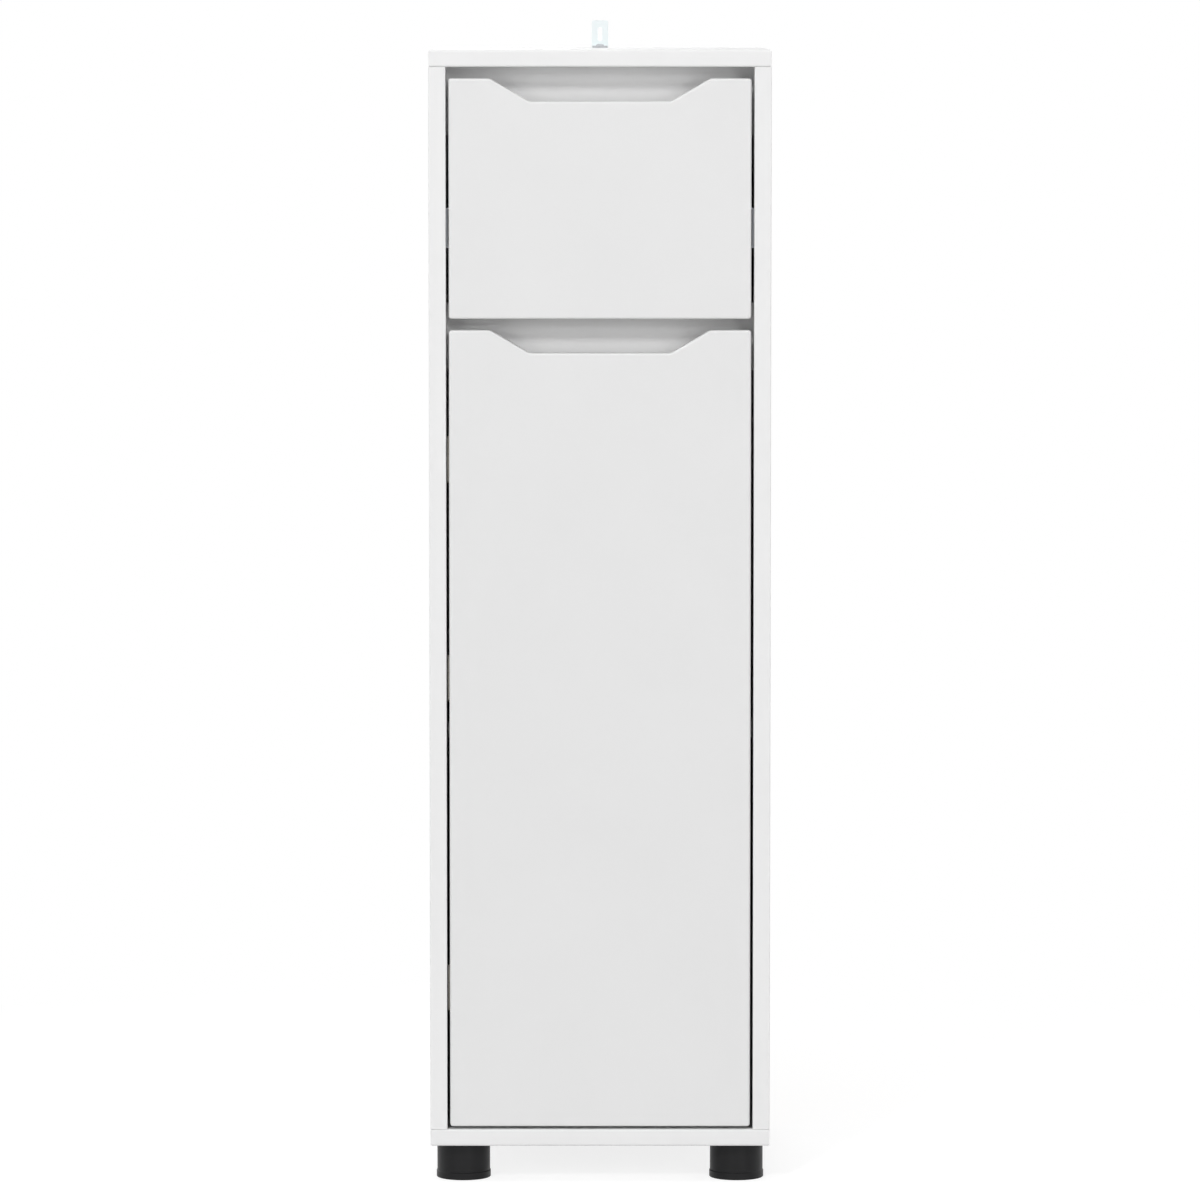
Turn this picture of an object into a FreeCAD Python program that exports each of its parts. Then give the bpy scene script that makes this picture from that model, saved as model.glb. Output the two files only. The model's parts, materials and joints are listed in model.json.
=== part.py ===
import FreeCAD, Part
import math
import os
import re
import Sketcher

# Every independent size of the cabinet, in millimetres, with what it measures.
SIZES = (
    ("cabinet_width", 300, "carcass, side to side"),
    ("cabinet_depth", 300, "carcass, front plane to rear plane"),
    ("cabinet_height", 1000, "floor to upper face of the top board"),
    ("board_thickness", 15, "carcass boards, rails, shelf and fronts"),
    ("board_round", 1, "rounding of the banded edges of the sides, rails and shelf"),
    ("cap_round", 2, "rounding of the banded edges of the top and bottom boards"),
    ("back_thickness", 3, "back board"),
    ("back_inset", 2, "back board, side edge to carcass side"),
    ("side_gap", 2.5, "beside the drawer front and the door"),
    ("bottom_gap", 2.5, "under the door"),
    ("finger_gap", 10, "above the drawer front and above the door"),
    ("drawer_front_height", 210, "drawer front"),
    ("notch_depth", 20, "finger notch, top edge to floor"),
    ("notch_floor_width", 124, "finger notch, along its floor"),
    ("notch_mouth_width", 193, "finger notch, along the top edge"),
    ("notch_round", 8, "finger notch, rounding of its four bends"),
    ("front_corner_round", 2.5, "outer corners of the fronts"),
    ("front_edge_round", 2, "front edges of the fronts"),
    ("rail_height", 60, "front rails"),
    ("rail_setback", 35, "front plane to the rails"),
    ("middle_rail_lap", 37, "middle rail below the top edge of the door"),
    ("shelf_above_middle", 10, "middle of the door opening to the underside of the shelf"),
    ("shelf_setback", 32, "front plane to the shelf"),
    ("shelf_end_play", 0.5, "shelf end to side board"),
    ("shelf_rear_play", 2, "shelf to back board"),
    ("peg_diameter", 5, "shelf pegs"),
    ("peg_insert", 8, "peg length inside the side board"),
    ("peg_reach", 8, "peg length under the shelf"),
    ("peg_front_inset", 90, "front plane to the front pegs"),
    ("peg_rear_inset", 50, "rear plane to the rear pegs"),
    ("peg_pitch", 32, "spacing of the peg holes"),
    ("foot_height", 33, "feet"),
    ("foot_diameter", 47, "foot barrel"),
    ("foot_rim", 0.6, "base rim beyond the barrel"),
    ("foot_rim_height", 6, "base rim"),
    ("foot_wall", 2.8, "foot barrel wall, top plate and ribs"),
    ("foot_boss_diameter", 14, "foot screw boss"),
    ("foot_boss_height", 12, "foot screw boss, below the bottom board"),
    ("foot_side_inset", 28.7, "carcass side to foot centre"),
    ("foot_front_inset", 37, "front or rear plane to foot centre"),
    ("foot_screw_length", 24, "foot screw under its head"),
    ("bracket_width", 15, "wall bracket"),
    ("bracket_rise", 25, "wall bracket above the top board"),
    ("bracket_reach", 26, "wall bracket along the top board"),
    ("bracket_sheet", 2, "wall bracket thickness"),
    ("bracket_round", 2, "wall bracket corners"),
    ("slot_width", 4.2, "wall slot"),
    ("slot_length", 13, "wall slot over its round ends"),
    ("slot_rise", 12.5, "top board to the middle of the wall slot"),
    ("bracket_screw_inset", 11, "bracket front end to its screw"),
    ("cam_diameter", 15, "carcass cam locks"),
    ("cam_depth", 12.5, "carcass cam locks"),
    ("small_cam_diameter", 12, "drawer cam locks"),
    ("small_cam_depth", 10, "drawer cam locks"),
    ("cam_reach", 24, "joint face to cam centre"),
    ("cam_slot", 5.6, "opening of a cam lock for its bolt"),
    ("cam_bolt_thread", 6, "cam bolt, threaded end"),
    ("cam_bolt_insert", 11, "cam bolt, length of the threaded end"),
    ("cam_bolt_shank", 5, "cam bolt, shank"),
    ("cam_bolt_past", 1.5, "cam bolt, end past the cam centre"),
    ("cam_front_inset", 70, "front plane to the front cam locks"),
    ("cam_rear_inset", 40, "rear plane to the rear cam locks"),
    ("dowel_diameter", 8, "wooden dowels"),
    ("dowel_short", 10, "dowel length in the face of a board"),
    ("dowel_long", 20, "dowel length in the end of a board"),
    ("dowel_spacing", 32, "cam lock to dowel"),
    ("rail_fixing_offset", 14, "rail middle to its bolt and to its dowel"),
    ("fit_play", 0.1, "bore wider than the piece in it"),
    ("nail_shank", 1.8, "back nails"),
    ("nail_head", 4, "back nail heads"),
    ("nail_head_height", 0.8, "back nail heads"),
    ("nail_length", 20, "back nails over the head"),
    ("nail_end_inset", 45, "back board end to the outer nails"),
    ("drawer_board", 12, "drawer sides and back"),
    ("drawer_top_gap", 19, "drawer sides to the upper rail"),
    ("drawer_length", 250, "drawer sides"),
    ("drawer_rise", 8, "middle rail to the drawer sides"),
    ("drawer_floor", 3, "drawer floor"),
    ("groove_depth", 6, "floor grooves"),
    ("groove_rise", 10, "lower edge of a drawer side to its groove"),
    ("groove_play", 0.3, "floor groove beyond the floor"),
    ("drawer_fixing_inset", 22, "edge of a drawer side to its bolts and screws"),
    ("runner_space", 12.5, "side board to drawer side"),
    ("runner_height", 35, "outer runners"),
    ("runner_length", 250, "runners"),
    ("runner_front_gap", 5, "drawer front to the runners"),
    ("runner_sheet", 1.2, "runner steel"),
    ("runner_flange", 10.5, "outer runner, web to flange tip"),
    ("runner_lip", 1, "outer runner, turned tip inside the flange"),
    ("inner_runner_height", 24, "inner runners"),
    ("inner_runner_flange", 9, "inner runner, web to flange tip"),
    ("runner_rise", 58, "lower edge of a drawer side to the runner middle"),
    ("runner_screw_inset", 30, "runner end to its screws"),
    ("runner_slot_inset", 62, "runner end to its slots"),
    ("runner_slot_width", 4.4, "slots in the runner webs"),
    ("runner_slot_length", 10, "slots in the runner webs, over their round ends"),
    ("stop_width", 4, "stop tabs of the runners, across"),
    ("stop_play", 0.5, "stop tab to the other runner"),
    ("ball_line", 6.8, "side board to the rows of balls"),
    ("ball_play", 0.2, "ball between its two tracks"),
    ("ball_spacing", 16, "balls along a cage"),
    ("cage_length", 70, "ball cages"),
    ("cage_width", 4.6, "ball cages"),
    ("cage_sheet", 0.8, "ball cages"),
    ("cage_start", 90, "runner front end to the cages with the drawer shut"),
    ("hinge_end_inset", 116.5, "door end to the outer hinges"),
    ("hinge_above_shelf", 36, "shelf to the middle hinge"),
    ("axis_from_edge", 14, "door edge to the hinge axis"),
    ("axis_depth", 7, "rear face of the door to the hinge axis"),
    ("hinge_pin_diameter", 2.5, "hinge pins"),
    ("eye_diameter", 5.2, "rolled eye of a hinge arm"),
    ("arm_sheet", 2, "hinge arm steel"),
    ("arm_width", 14, "hinge arms"),
    ("arm_nose_across", 19.2, "hinge axis to the first bend, across"),
    ("arm_nose_back", 10.2, "hinge axis to the first bend, rearward"),
    ("arm_bend_across", 21, "hinge axis to the second bend, across"),
    ("arm_bend_back", 19, "hinge axis to the second bend, rearward"),
    ("arm_turn_across", 13.5, "hinge axis to the third bend, across"),
    ("arm_turn_back", 26.5, "hinge axis to the third bend, rearward"),
    ("arm_heel_across", 2, "hinge axis to the heel bend, across"),
    ("arm_heel_back", 28.5, "hinge axis to the heel bend, rearward"),
    ("arm_seat_back", 35, "hinge axis to the seat of the arm, rearward"),
    ("arm_cheek_back", 40, "hinge axis to the full cheeks, rearward"),
    ("arm_tail_back", 72, "hinge axis to the end of the arm, rearward"),
    ("cheek_sheet", 1.5, "side cheeks of a hinge arm"),
    ("cheek_play", 0.4, "cheek to plate"),
    ("plate_rise", 9, "side board to the seat of the arm"),
    ("plate_front_back", 38, "hinge axis to the plate block, rearward"),
    ("plate_wing_back", 45, "hinge axis to the wing middle, rearward"),
    ("plate_wing_width", 10, "plate wings"),
    ("plate_wing_span", 44, "plate over both wings"),
    ("plate_wing_sheet", 2.5, "plate wings"),
    ("plate_screw_span", 32, "plate screws, middle to middle"),
    ("arm_screw_back", 61, "hinge axis to the fixing screw of the arm, rearward"),
    ("arm_adjuster_back", 48, "hinge axis to the adjusting screw of the arm, rearward"),
    ("cup_diameter", 35, "hinge cup bores"),
    ("cup_depth", 11, "hinge cup bores"),
    ("cup_edge", 5, "door edge to a cup bore"),
    ("cup_sheet", 1, "hinge cup wall and floor"),
    ("cup_rim", 1.5, "rim beyond a cup bore"),
    ("flange_sheet", 1.2, "cup flanges"),
    ("flange_span", 62, "cup flange, end to end"),
    ("flange_near", 9, "cup middle to the flange edge at the axis side"),
    ("flange_far", 16, "cup middle to the far flange edge"),
    ("flange_round", 6, "cup flange corners"),
    ("ear_width", 6, "pin ears of a cup"),
    ("ear_sheet", 2.5, "pin ears of a cup"),
    ("ear_play", 0.5, "arm to pin ear"),
    ("cup_screw_across", 6, "cup middle to its screws, across"),
    ("cup_screw_span", 48, "cup screws, middle to middle"),
    ("screw_head", 7, "pan head screws"),
    ("screw_head_height", 1.8, "pan head screws"),
    ("screw_shank", 3.5, "pan head screws"),
    ("screw_length", 10, "short pan head screws"),
    ("long_screw_length", 30, "drawer back screws"),
)

document = FreeCAD.newDocument("BathroomCabinet")
sheet = document.addObject("Spreadsheet::Sheet", "Sizes")
for row, (alias, size, note) in enumerate(SIZES, start=1):
    sheet.set(f"A{row}", note)
    sheet.set(f"B{row}", str(size))
    sheet.setAlias(f"B{row}", alias)
document.recompute()
NAMES = {entry[0] for entry in SIZES}
V = FreeCAD.Vector

# Places shared by several pieces, written as formulas of the sizes above.
FRONT = "(0 - cabinet_depth / 2)"
REAR = "(cabinet_depth / 2)"
INNER = "(cabinet_width / 2 - board_thickness)"
MID_SIDE = "(cabinet_width / 2 - board_thickness / 2)"
FLOOR = "(foot_height + board_thickness)"
CEILING = "(cabinet_height - board_thickness)"
SIDE_HEIGHT = f"({CEILING} - {FLOOR})"
FRONT_BACK = f"({FRONT} + board_thickness)"
FRONT_HALF = f"({INNER} - side_gap)"
DRAWER_TOP = f"({CEILING} - finger_gap)"
DRAWER_FOOT = f"({DRAWER_TOP} - drawer_front_height)"
DOOR_TOP = f"({DRAWER_FOOT} - finger_gap)"
DOOR_FOOT = f"({FLOOR} + bottom_gap)"
MIDDLE_RAIL = f"({DOOR_TOP} - middle_rail_lap)"
UPPER_RAIL = f"({CEILING} - rail_height)"
RAIL_FACE = f"({FRONT} + rail_setback)"
RAIL_MID = f"({RAIL_FACE} + board_thickness / 2)"
RAIL_REAR = f"({RAIL_FACE} + board_thickness)"
SHELF = f"(({FLOOR} + {MIDDLE_RAIL}) / 2 + shelf_above_middle)"
PEG_LEVEL = f"({SHELF} - peg_diameter / 2)"
PEG_FRONT = f"({FRONT} + peg_front_inset)"
PEG_REAR = f"({REAR} - peg_rear_inset)"
CAM_FRONT = f"({FRONT} + cam_front_inset)"
CAM_REAR = f"({REAR} - cam_rear_inset)"
DOWEL_FRONT = f"({CAM_FRONT} + dowel_spacing)"
DOWEL_REAR = f"({CAM_REAR} - dowel_spacing)"
BACK_FACE = f"({REAR} - back_thickness)"
BOX_FOOT = f"({MIDDLE_RAIL} + rail_height + drawer_rise)"
BOX_HALF = f"({INNER} - runner_space)"
BOX_INNER = f"({BOX_HALF} - drawer_board)"
BOX_MID = f"({BOX_HALF} - drawer_board / 2)"
BOX_REAR = f"({FRONT_BACK} + drawer_length)"
BOX_LOW = f"({BOX_FOOT} + drawer_fixing_inset)"
BOX_HEIGHT = f"({UPPER_RAIL} - {BOX_FOOT} - drawer_top_gap)"
BOX_HIGH = f"({BOX_FOOT} + {BOX_HEIGHT} - drawer_fixing_inset)"
BACK_MID = f"({BOX_REAR} - drawer_board / 2)"
RUNNER_LEVEL = f"({BOX_FOOT} + runner_rise)"
RUNNER_FRONT = f"({FRONT_BACK} + runner_front_gap)"
RUNNER_REAR = f"({RUNNER_FRONT} + runner_length)"
RUNNER_SCREWS = (f"({RUNNER_FRONT} + runner_screw_inset)", f"({RUNNER_REAR} - runner_screw_inset)")
AXIS_X = f"(axis_from_edge - {FRONT_HALF})"
AXIS_Y = f"({FRONT_BACK} - axis_depth)"
CUP_X = f"(cup_edge + cup_diameter / 2 - {FRONT_HALF})"
WING_Y = f"({AXIS_Y} + plate_wing_back)"
HINGES = {
    "upper": f"({DOOR_TOP} - hinge_end_inset)",
    "middle": f"({SHELF} + board_thickness + hinge_above_shelf)",
    "lower": f"({DOOR_FOOT} + hinge_end_inset)",
}
FOOT_X = "(cabinet_width / 2 - foot_side_inset)"
FOOT_Y = "(cabinet_depth / 2 - foot_front_inset)"
nodes = []


def bound(formula):
    """Point every size name in a formula at the sheet."""
    return re.sub(r"[a-z][a-z_]*", lambda m: f"Sizes.{m[0]}" if m[0] in NAMES else m[0], formula)


def bind(item, name, formula):
    """Bind one property of an object to a formula."""
    item.setExpression(name, bound(formula))


def place(item, x="0", y="0", z="0", turn=None):
    """Turn an object and bind its position."""
    if turn is not None:
        item.Placement = FreeCAD.Placement(V(0, 0, 0), turn)
    bind(item, "Placement.Base.x", x)
    bind(item, "Placement.Base.y", y)
    bind(item, "Placement.Base.z", z)


def facing(up, across):
    """Rotation that takes local z to up and local x to across."""
    return FreeCAD.Rotation(across, up.cross(across), up, "ZXY")


def body_for(label, node=True):
    """Start one piece."""
    body = document.addObject("PartDesign::Body", label)
    body.Label = label
    if node:
        nodes.append(body)
    return body


def origin(body, role):
    """Origin plane or axis of a piece."""
    return next(item for item in body.Origin.OriginFeatures if item.Role == role)


def sketch_in(body, role, lift="0"):
    """Sketch on an origin plane of a piece, lifted along the plane's normal."""
    item = body.newObject("Sketcher::SketchObject", f"{body.Name}_profile")
    item.AttachmentSupport = [(origin(body, role), "")]
    item.MapMode = "FlatFace"
    bind(item, "AttachmentOffset.Base.z", lift)
    return item


def tie(item, line, end, x, y):
    """Bind a sketch point to two formulas."""
    for kind, formula in (("DistanceX", x), ("DistanceY", y)):
        index = item.addConstraint(Sketcher.Constraint(kind, -1, 1, line, end, 1.0))
        bind(item, f"Constraints[{index}]", formula)


def outline(item, corners, closed=True):
    """Draw straight lines through corners given as formulas."""
    first = item.GeometryCount
    count = len(corners)
    lines = count if closed else count - 1
    spots = [V(math.cos(math.tau * i / count), math.sin(math.tau * i / count), 0) for i in range(count)]
    for i in range(lines):
        item.addGeometry(Part.LineSegment(spots[i], spots[(i + 1) % count]), False)
    for i in range(lines if closed else lines - 1):
        item.addConstraint(Sketcher.Constraint("Coincident", first + i, 2, first + (i + 1) % count, 1))
    for i, (x, y) in enumerate(corners):
        if i < lines:
            tie(item, first + i, 1, x, y)
        else:
            tie(item, first + i - 1, 2, x, y)


def block(item, x0, x1, y0, y1):
    """Draw a rectangle between formulas."""
    outline(item, ((x0, y0), (x1, y0), (x1, y1), (x0, y1)))


def rings(item, centres, diameter):
    """Draw equal circles round centres given as formulas."""
    for x, y in centres:
        index = item.addGeometry(Part.Circle(V(item.GeometryCount, 0, 0), V(0, 0, 1), 1), False)
        tie(item, index, 3, x, y)
        size = item.addConstraint(Sketcher.Constraint("Diameter", index, 1.0))
        bind(item, f"Constraints[{size}]", diameter)


def pad(body, item, length, flip=False):
    """Raise a sketch into solid material."""
    feature = body.newObject("PartDesign::Pad", f"{body.Name}_pad")
    feature.Profile = item
    feature.Reversed = flip
    bind(feature, "Length", length)
    document.recompute()
    return feature


def sink(body, item, depth, flip=False):
    """Cut a sketch into the material and require that material went."""
    before = body.Shape.Volume
    feature = body.newObject("PartDesign::Pocket", f"{body.Name}_pocket")
    feature.Profile = item
    feature.Reversed = flip
    bind(feature, "Length", depth)
    document.recompute()
    if not body.Shape.Volume < before:
        raise RuntimeError(f"{body.Label}: a pocket cut nothing")
    return feature


def bore(body, role, lift, centres, diameter, depth, flip=False):
    """Sink equal round holes from a lifted origin plane."""
    item = sketch_in(body, role, lift)
    rings(item, centres, diameter)
    return sink(body, item, depth, flip)


def slot(body, role, lift, middle, length, width, depth, upright, flip=False):
    """Sink a round-ended slot that runs along the second or the first axis of a plane."""
    x, y = middle
    reach = f"({length} - {width}) / 2"
    half = f"{width} / 2"
    item = sketch_in(body, role, lift)
    if upright:
        block(item, f"{x} - {half}", f"{x} + {half}", f"{y} - {reach}", f"{y} + {reach}")
        ends = [(x, f"{y} {s} {reach}") for s in "-+"]
    else:
        block(item, f"{x} - {reach}", f"{x} + {reach}", f"{y} - {half}", f"{y} + {half}")
        ends = [(f"{x} {s} {reach}", y) for s in "-+"]
    sink(body, item, depth, flip)
    for end in ends:
        bore(body, role, lift, (end,), width, depth, flip)


def lathe(body, corners):
    """Turn a half profile round the local z axis."""
    item = sketch_in(body, "XZ_Plane")
    outline(item, corners)
    feature = body.newObject("PartDesign::Revolution", f"{body.Name}_turned")
    feature.Profile = item
    feature.ReferenceAxis = (item, ["V_Axis"])
    document.recompute()
    return feature


def soften(body, test, radius):
    """Round the edges that pass a test on their middle and direction."""
    base = body.Tip
    names = []
    for number, edge in enumerate(base.Shape.Edges, start=1):
        halfway = (edge.FirstParameter + edge.LastParameter) / 2
        if test(edge.valueAt(halfway), edge.tangentAt(halfway), base.Shape.BoundBox):
            names.append(f"Edge{number}")
    feature = body.newObject("PartDesign::Fillet", f"{body.Name}_round")
    feature.Base = (base, names)
    bind(feature, "Radius", radius)
    document.recompute()
    return feature


def near(a, b):
    """True when two places agree."""
    return math.isclose(a, b, rel_tol=0, abs_tol=1e-4)


def group(label, template, places):
    """One node of equal separate solids, each a turned and placed copy of a template."""
    copies = []
    for number, (x, y, z, turn) in enumerate(places):
        copy = document.addObject("App::Link", f"{label}_copy_{number}")
        copy.setLink(template)
        place(copy, x, y, z, turn)
        copies.append(copy)
    whole = document.addObject("Part::Compound", label)
    whole.Label = label
    whole.Links = copies
    nodes.append(whole)
    return whole


UP = facing(V(0, 0, 1), V(1, 0, 0))
DOWN = facing(V(0, 0, -1), V(1, 0, 0))
RIGHT = facing(V(1, 0, 0), V(0, 1, 0))
LEFT = facing(V(-1, 0, 0), V(0, 1, 0))
REARWARD = facing(V(0, 1, 0), V(1, 0, 0))
FORWARD = facing(V(0, -1, 0), V(1, 0, 0))
HALF_TURN = FreeCAD.Rotation(V(0, 0, 1), 180)
SIDES = (("left", "-1", -1), ("right", "1", 1))


def horizontal_board(label, depth_end, level):
    """Top or bottom board with bolt and dowel bores toward the side boards."""
    body = body_for(label)
    item = sketch_in(body, "XY_Plane")
    block(item, "0 - cabinet_width / 2", "cabinet_width / 2", FRONT, depth_end)
    pad(body, item, "board_thickness")

    def banded(m, run, box):
        ends = near(abs(m.x), box.XMax) or near(m.y, box.YMin)
        return ends and near(abs(run.z), 0)

    soften(body, banded, "cap_round")
    top = label == "top_panel"
    lift = "0" if top else "board_thickness"
    bolts = [(f"{s} * {MID_SIDE}", y) for _, s, _ in SIDES for y in (CAM_FRONT, CAM_REAR)]
    dowels = [(f"{s} * {MID_SIDE}", y) for _, s, _ in SIDES for y in (DOWEL_FRONT, DOWEL_REAR)]
    bore(body, "XY_Plane", lift, bolts, "cam_bolt_thread + fit_play", "cam_bolt_insert", top)
    bore(body, "XY_Plane", lift, dowels, "dowel_diameter + fit_play", "dowel_short", top)
    place(body, z=level)
    return body


# Carcass: top board over the sides and the back, bottom board under the sides.
top_panel = horizontal_board("top_panel", REAR, CEILING)
bore(top_panel, "XY_Plane", "board_thickness", (("0", f"{REAR} - bracket_reach + bracket_screw_inset"),),
     "screw_shank + fit_play", "screw_length - bracket_sheet")
bottom_panel = horizontal_board("bottom_panel", BACK_FACE, "foot_height")
feet_at = [(f"{s} * {FOOT_X}", f"{r} * {FOOT_Y}") for s in ("-1", "1") for r in ("-1", "1")]
bore(bottom_panel, "XY_Plane", "0", feet_at, "screw_shank + fit_play",
     "foot_screw_length - foot_boss_height", True)


def side_board(name, sign, number):
    """Side board with bores for its locks, dowels, pegs, runner, rails and nails."""
    body = body_for(f"{name}_side_panel")
    left = number < 0
    face = "board_thickness" if left else "0"
    item = sketch_in(body, "YZ_Plane")
    block(item, FRONT, BACK_FACE, "0", SIDE_HEIGHT)
    pad(body, item, "board_thickness")

    def banded(m, run, box):
        return near(m.y, box.YMin) and near(abs(run.z), 1)

    soften(body, banded, "board_round")
    local = f"0 - {FLOOR}"
    cams = [(y, z) for y in (CAM_FRONT, CAM_REAR) for z in ("cam_reach", f"{SIDE_HEIGHT} - cam_reach")]
    bore(body, "YZ_Plane", face, cams, "cam_diameter + fit_play", "cam_depth", not left)
    ends = [("board_thickness / 2", y) for y in (CAM_FRONT, CAM_REAR)]
    pegs = [("board_thickness / 2", y) for y in (DOWEL_FRONT, DOWEL_REAR)]
    for lift, flip in (("0", True), (SIDE_HEIGHT, False)):
        bore(body, "XY_Plane", lift, ends, "cam_bolt_thread + fit_play", "cam_reach", flip)
        bore(body, "XY_Plane", lift, pegs, "dowel_diameter + fit_play", "dowel_long", flip)
    levels = (f"{PEG_LEVEL} - peg_pitch", PEG_LEVEL, f"{PEG_LEVEL} + peg_pitch")
    holes = [(y, f"{z} {local[1:]}") for y in (PEG_FRONT, PEG_REAR) for z in levels]
    bore(body, "YZ_Plane", face, holes, "peg_diameter + fit_play", "peg_insert", not left)
    rails = [f"({z} + rail_height / 2 {local[1:]})" for z in (UPPER_RAIL, MIDDLE_RAIL)]
    bolts = [(RAIL_MID, f"{z} - rail_fixing_offset") for z in rails]
    dowels = [(RAIL_MID, f"{z} + rail_fixing_offset") for z in rails]
    bore(body, "YZ_Plane", face, bolts, "cam_bolt_thread + fit_play", "cam_bolt_insert", not left)
    bore(body, "YZ_Plane", face, dowels, "dowel_diameter + fit_play", "dowel_short", not left)
    screws = [(y, f"{RUNNER_LEVEL} {local[1:]}") for y in RUNNER_SCREWS]
    bore(body, "YZ_Plane", face, screws, "screw_shank + fit_play", "screw_length - runner_sheet", not left)
    if left:
        wings = [(WING_Y, f"{z} {local[1:]} {s} plate_screw_span / 2")
                 for z in HINGES.values() for s in "+-"]
        bore(body, "YZ_Plane", face, wings, "screw_shank + fit_play",
             "screw_length - plate_wing_sheet", not left)
    nails = [("board_thickness / 2", f"{z} {local[1:]}") for z in NAIL_LEVELS]
    bore(body, "XZ_Plane", f"0 - {BACK_FACE}", nails, "nail_shank + fit_play",
         "nail_length - back_thickness", True)
    place(body, "0 - cabinet_width / 2" if left else INNER, "0", FLOOR)
    return body


NAIL_LOW = "(foot_height + nail_end_inset)"
NAIL_STEP = f"(({CEILING} - nail_end_inset - {NAIL_LOW}) / 4)"
NAIL_LEVELS = [f"({NAIL_LOW} + {NAIL_STEP} * {i})" for i in range(5)]
left_side_panel = side_board(*SIDES[0])
right_side_panel = side_board(*SIDES[1])

# Back board on the rear edges, with sunk nail heads.
back_panel = body_for("back_panel")
item = sketch_in(back_panel, "XZ_Plane")
block(item, "back_inset - cabinet_width / 2", "cabinet_width / 2 - back_inset", "foot_height", CEILING)
pad(back_panel, item, "back_thickness", True)
nails_at = [(f"{s} * {MID_SIDE}", z) for _, s, _ in SIDES for z in NAIL_LEVELS]
bore(back_panel, "XZ_Plane", "0", nails_at, "nail_shank + fit_play", "back_thickness", False)
bore(back_panel, "XZ_Plane", "0 - back_thickness", nails_at, "nail_head + fit_play",
     "nail_head_height", True)
place(back_panel, y=BACK_FACE)


def rail(label, level):
    """Upright rail between the side boards, locked from its rear face."""
    body = body_for(label)
    item = sketch_in(body, "XZ_Plane")
    block(item, f"0 - {INNER}", INNER, "0", "rail_height")
    pad(body, item, "board_thickness", True)

    def banded(m, run, box):
        return near(m.y, box.YMin) and near(abs(run.x), 1)

    soften(body, banded, "board_round")
    low = "rail_height / 2 - rail_fixing_offset"
    high = "rail_height / 2 + rail_fixing_offset"
    cams = [(f"{s} * ({INNER} - cam_reach)", low) for _, s, _ in SIDES]
    bore(body, "XZ_Plane", "0 - board_thickness", cams, "cam_diameter + fit_play", "cam_depth", True)
    for sign, flip in (("-1", True), ("1", False)):
        face = f"{sign} * {INNER}"
        bolt = (("board_thickness / 2", low),)
        bore(body, "YZ_Plane", face, bolt, "cam_bolt_thread + fit_play", "cam_reach", flip)
        dowel = (("board_thickness / 2", high),)
        bore(body, "YZ_Plane", face, dowel, "dowel_diameter + fit_play", "dowel_long", flip)
    place(body, "0", RAIL_FACE, level)
    return body


upper_rail = rail("upper_front_rail", UPPER_RAIL)
middle_rail = rail("middle_front_rail", MIDDLE_RAIL)

# Shelf lying on four pegs.
shelf = body_for("shelf")
item = sketch_in(shelf, "XY_Plane")
block(item, f"shelf_end_play - {INNER}", f"{INNER} - shelf_end_play",
      f"{FRONT} + shelf_setback", f"{BACK_FACE} - shelf_rear_play")
pad(shelf, item, "board_thickness")
soften(shelf, lambda m, run, box: near(m.y, box.YMin) and near(abs(run.x), 1), "board_round")
place(shelf, z=SHELF)
peg = body_for("peg", False)
lathe(peg, (("0", "0 - peg_insert"), ("peg_diameter / 2", "0 - peg_insert"),
            ("peg_diameter / 2", "peg_reach"), ("0", "peg_reach")))
group("shelf_pins", peg, [(f"{s} * {INNER}", y, PEG_LEVEL, RIGHT if n < 0 else LEFT)
                          for _, s, n in SIDES for y in (PEG_FRONT, PEG_REAR)])


def cam(label, diameter, depth, core):
    """Cam lock with its face at local z zero and its opening toward local x."""
    body = body_for(label, False)
    item = sketch_in(body, "XY_Plane")
    rings(item, (("0", "0"),), diameter)
    pad(body, item, depth, True)
    item = sketch_in(body, "XY_Plane", f"0 - {core} + cam_slot / 2")
    block(item, "0 - cam_slot / 2", diameter, "0 - cam_slot / 2", "cam_slot / 2")
    sink(body, item, "cam_slot")
    return body


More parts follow.
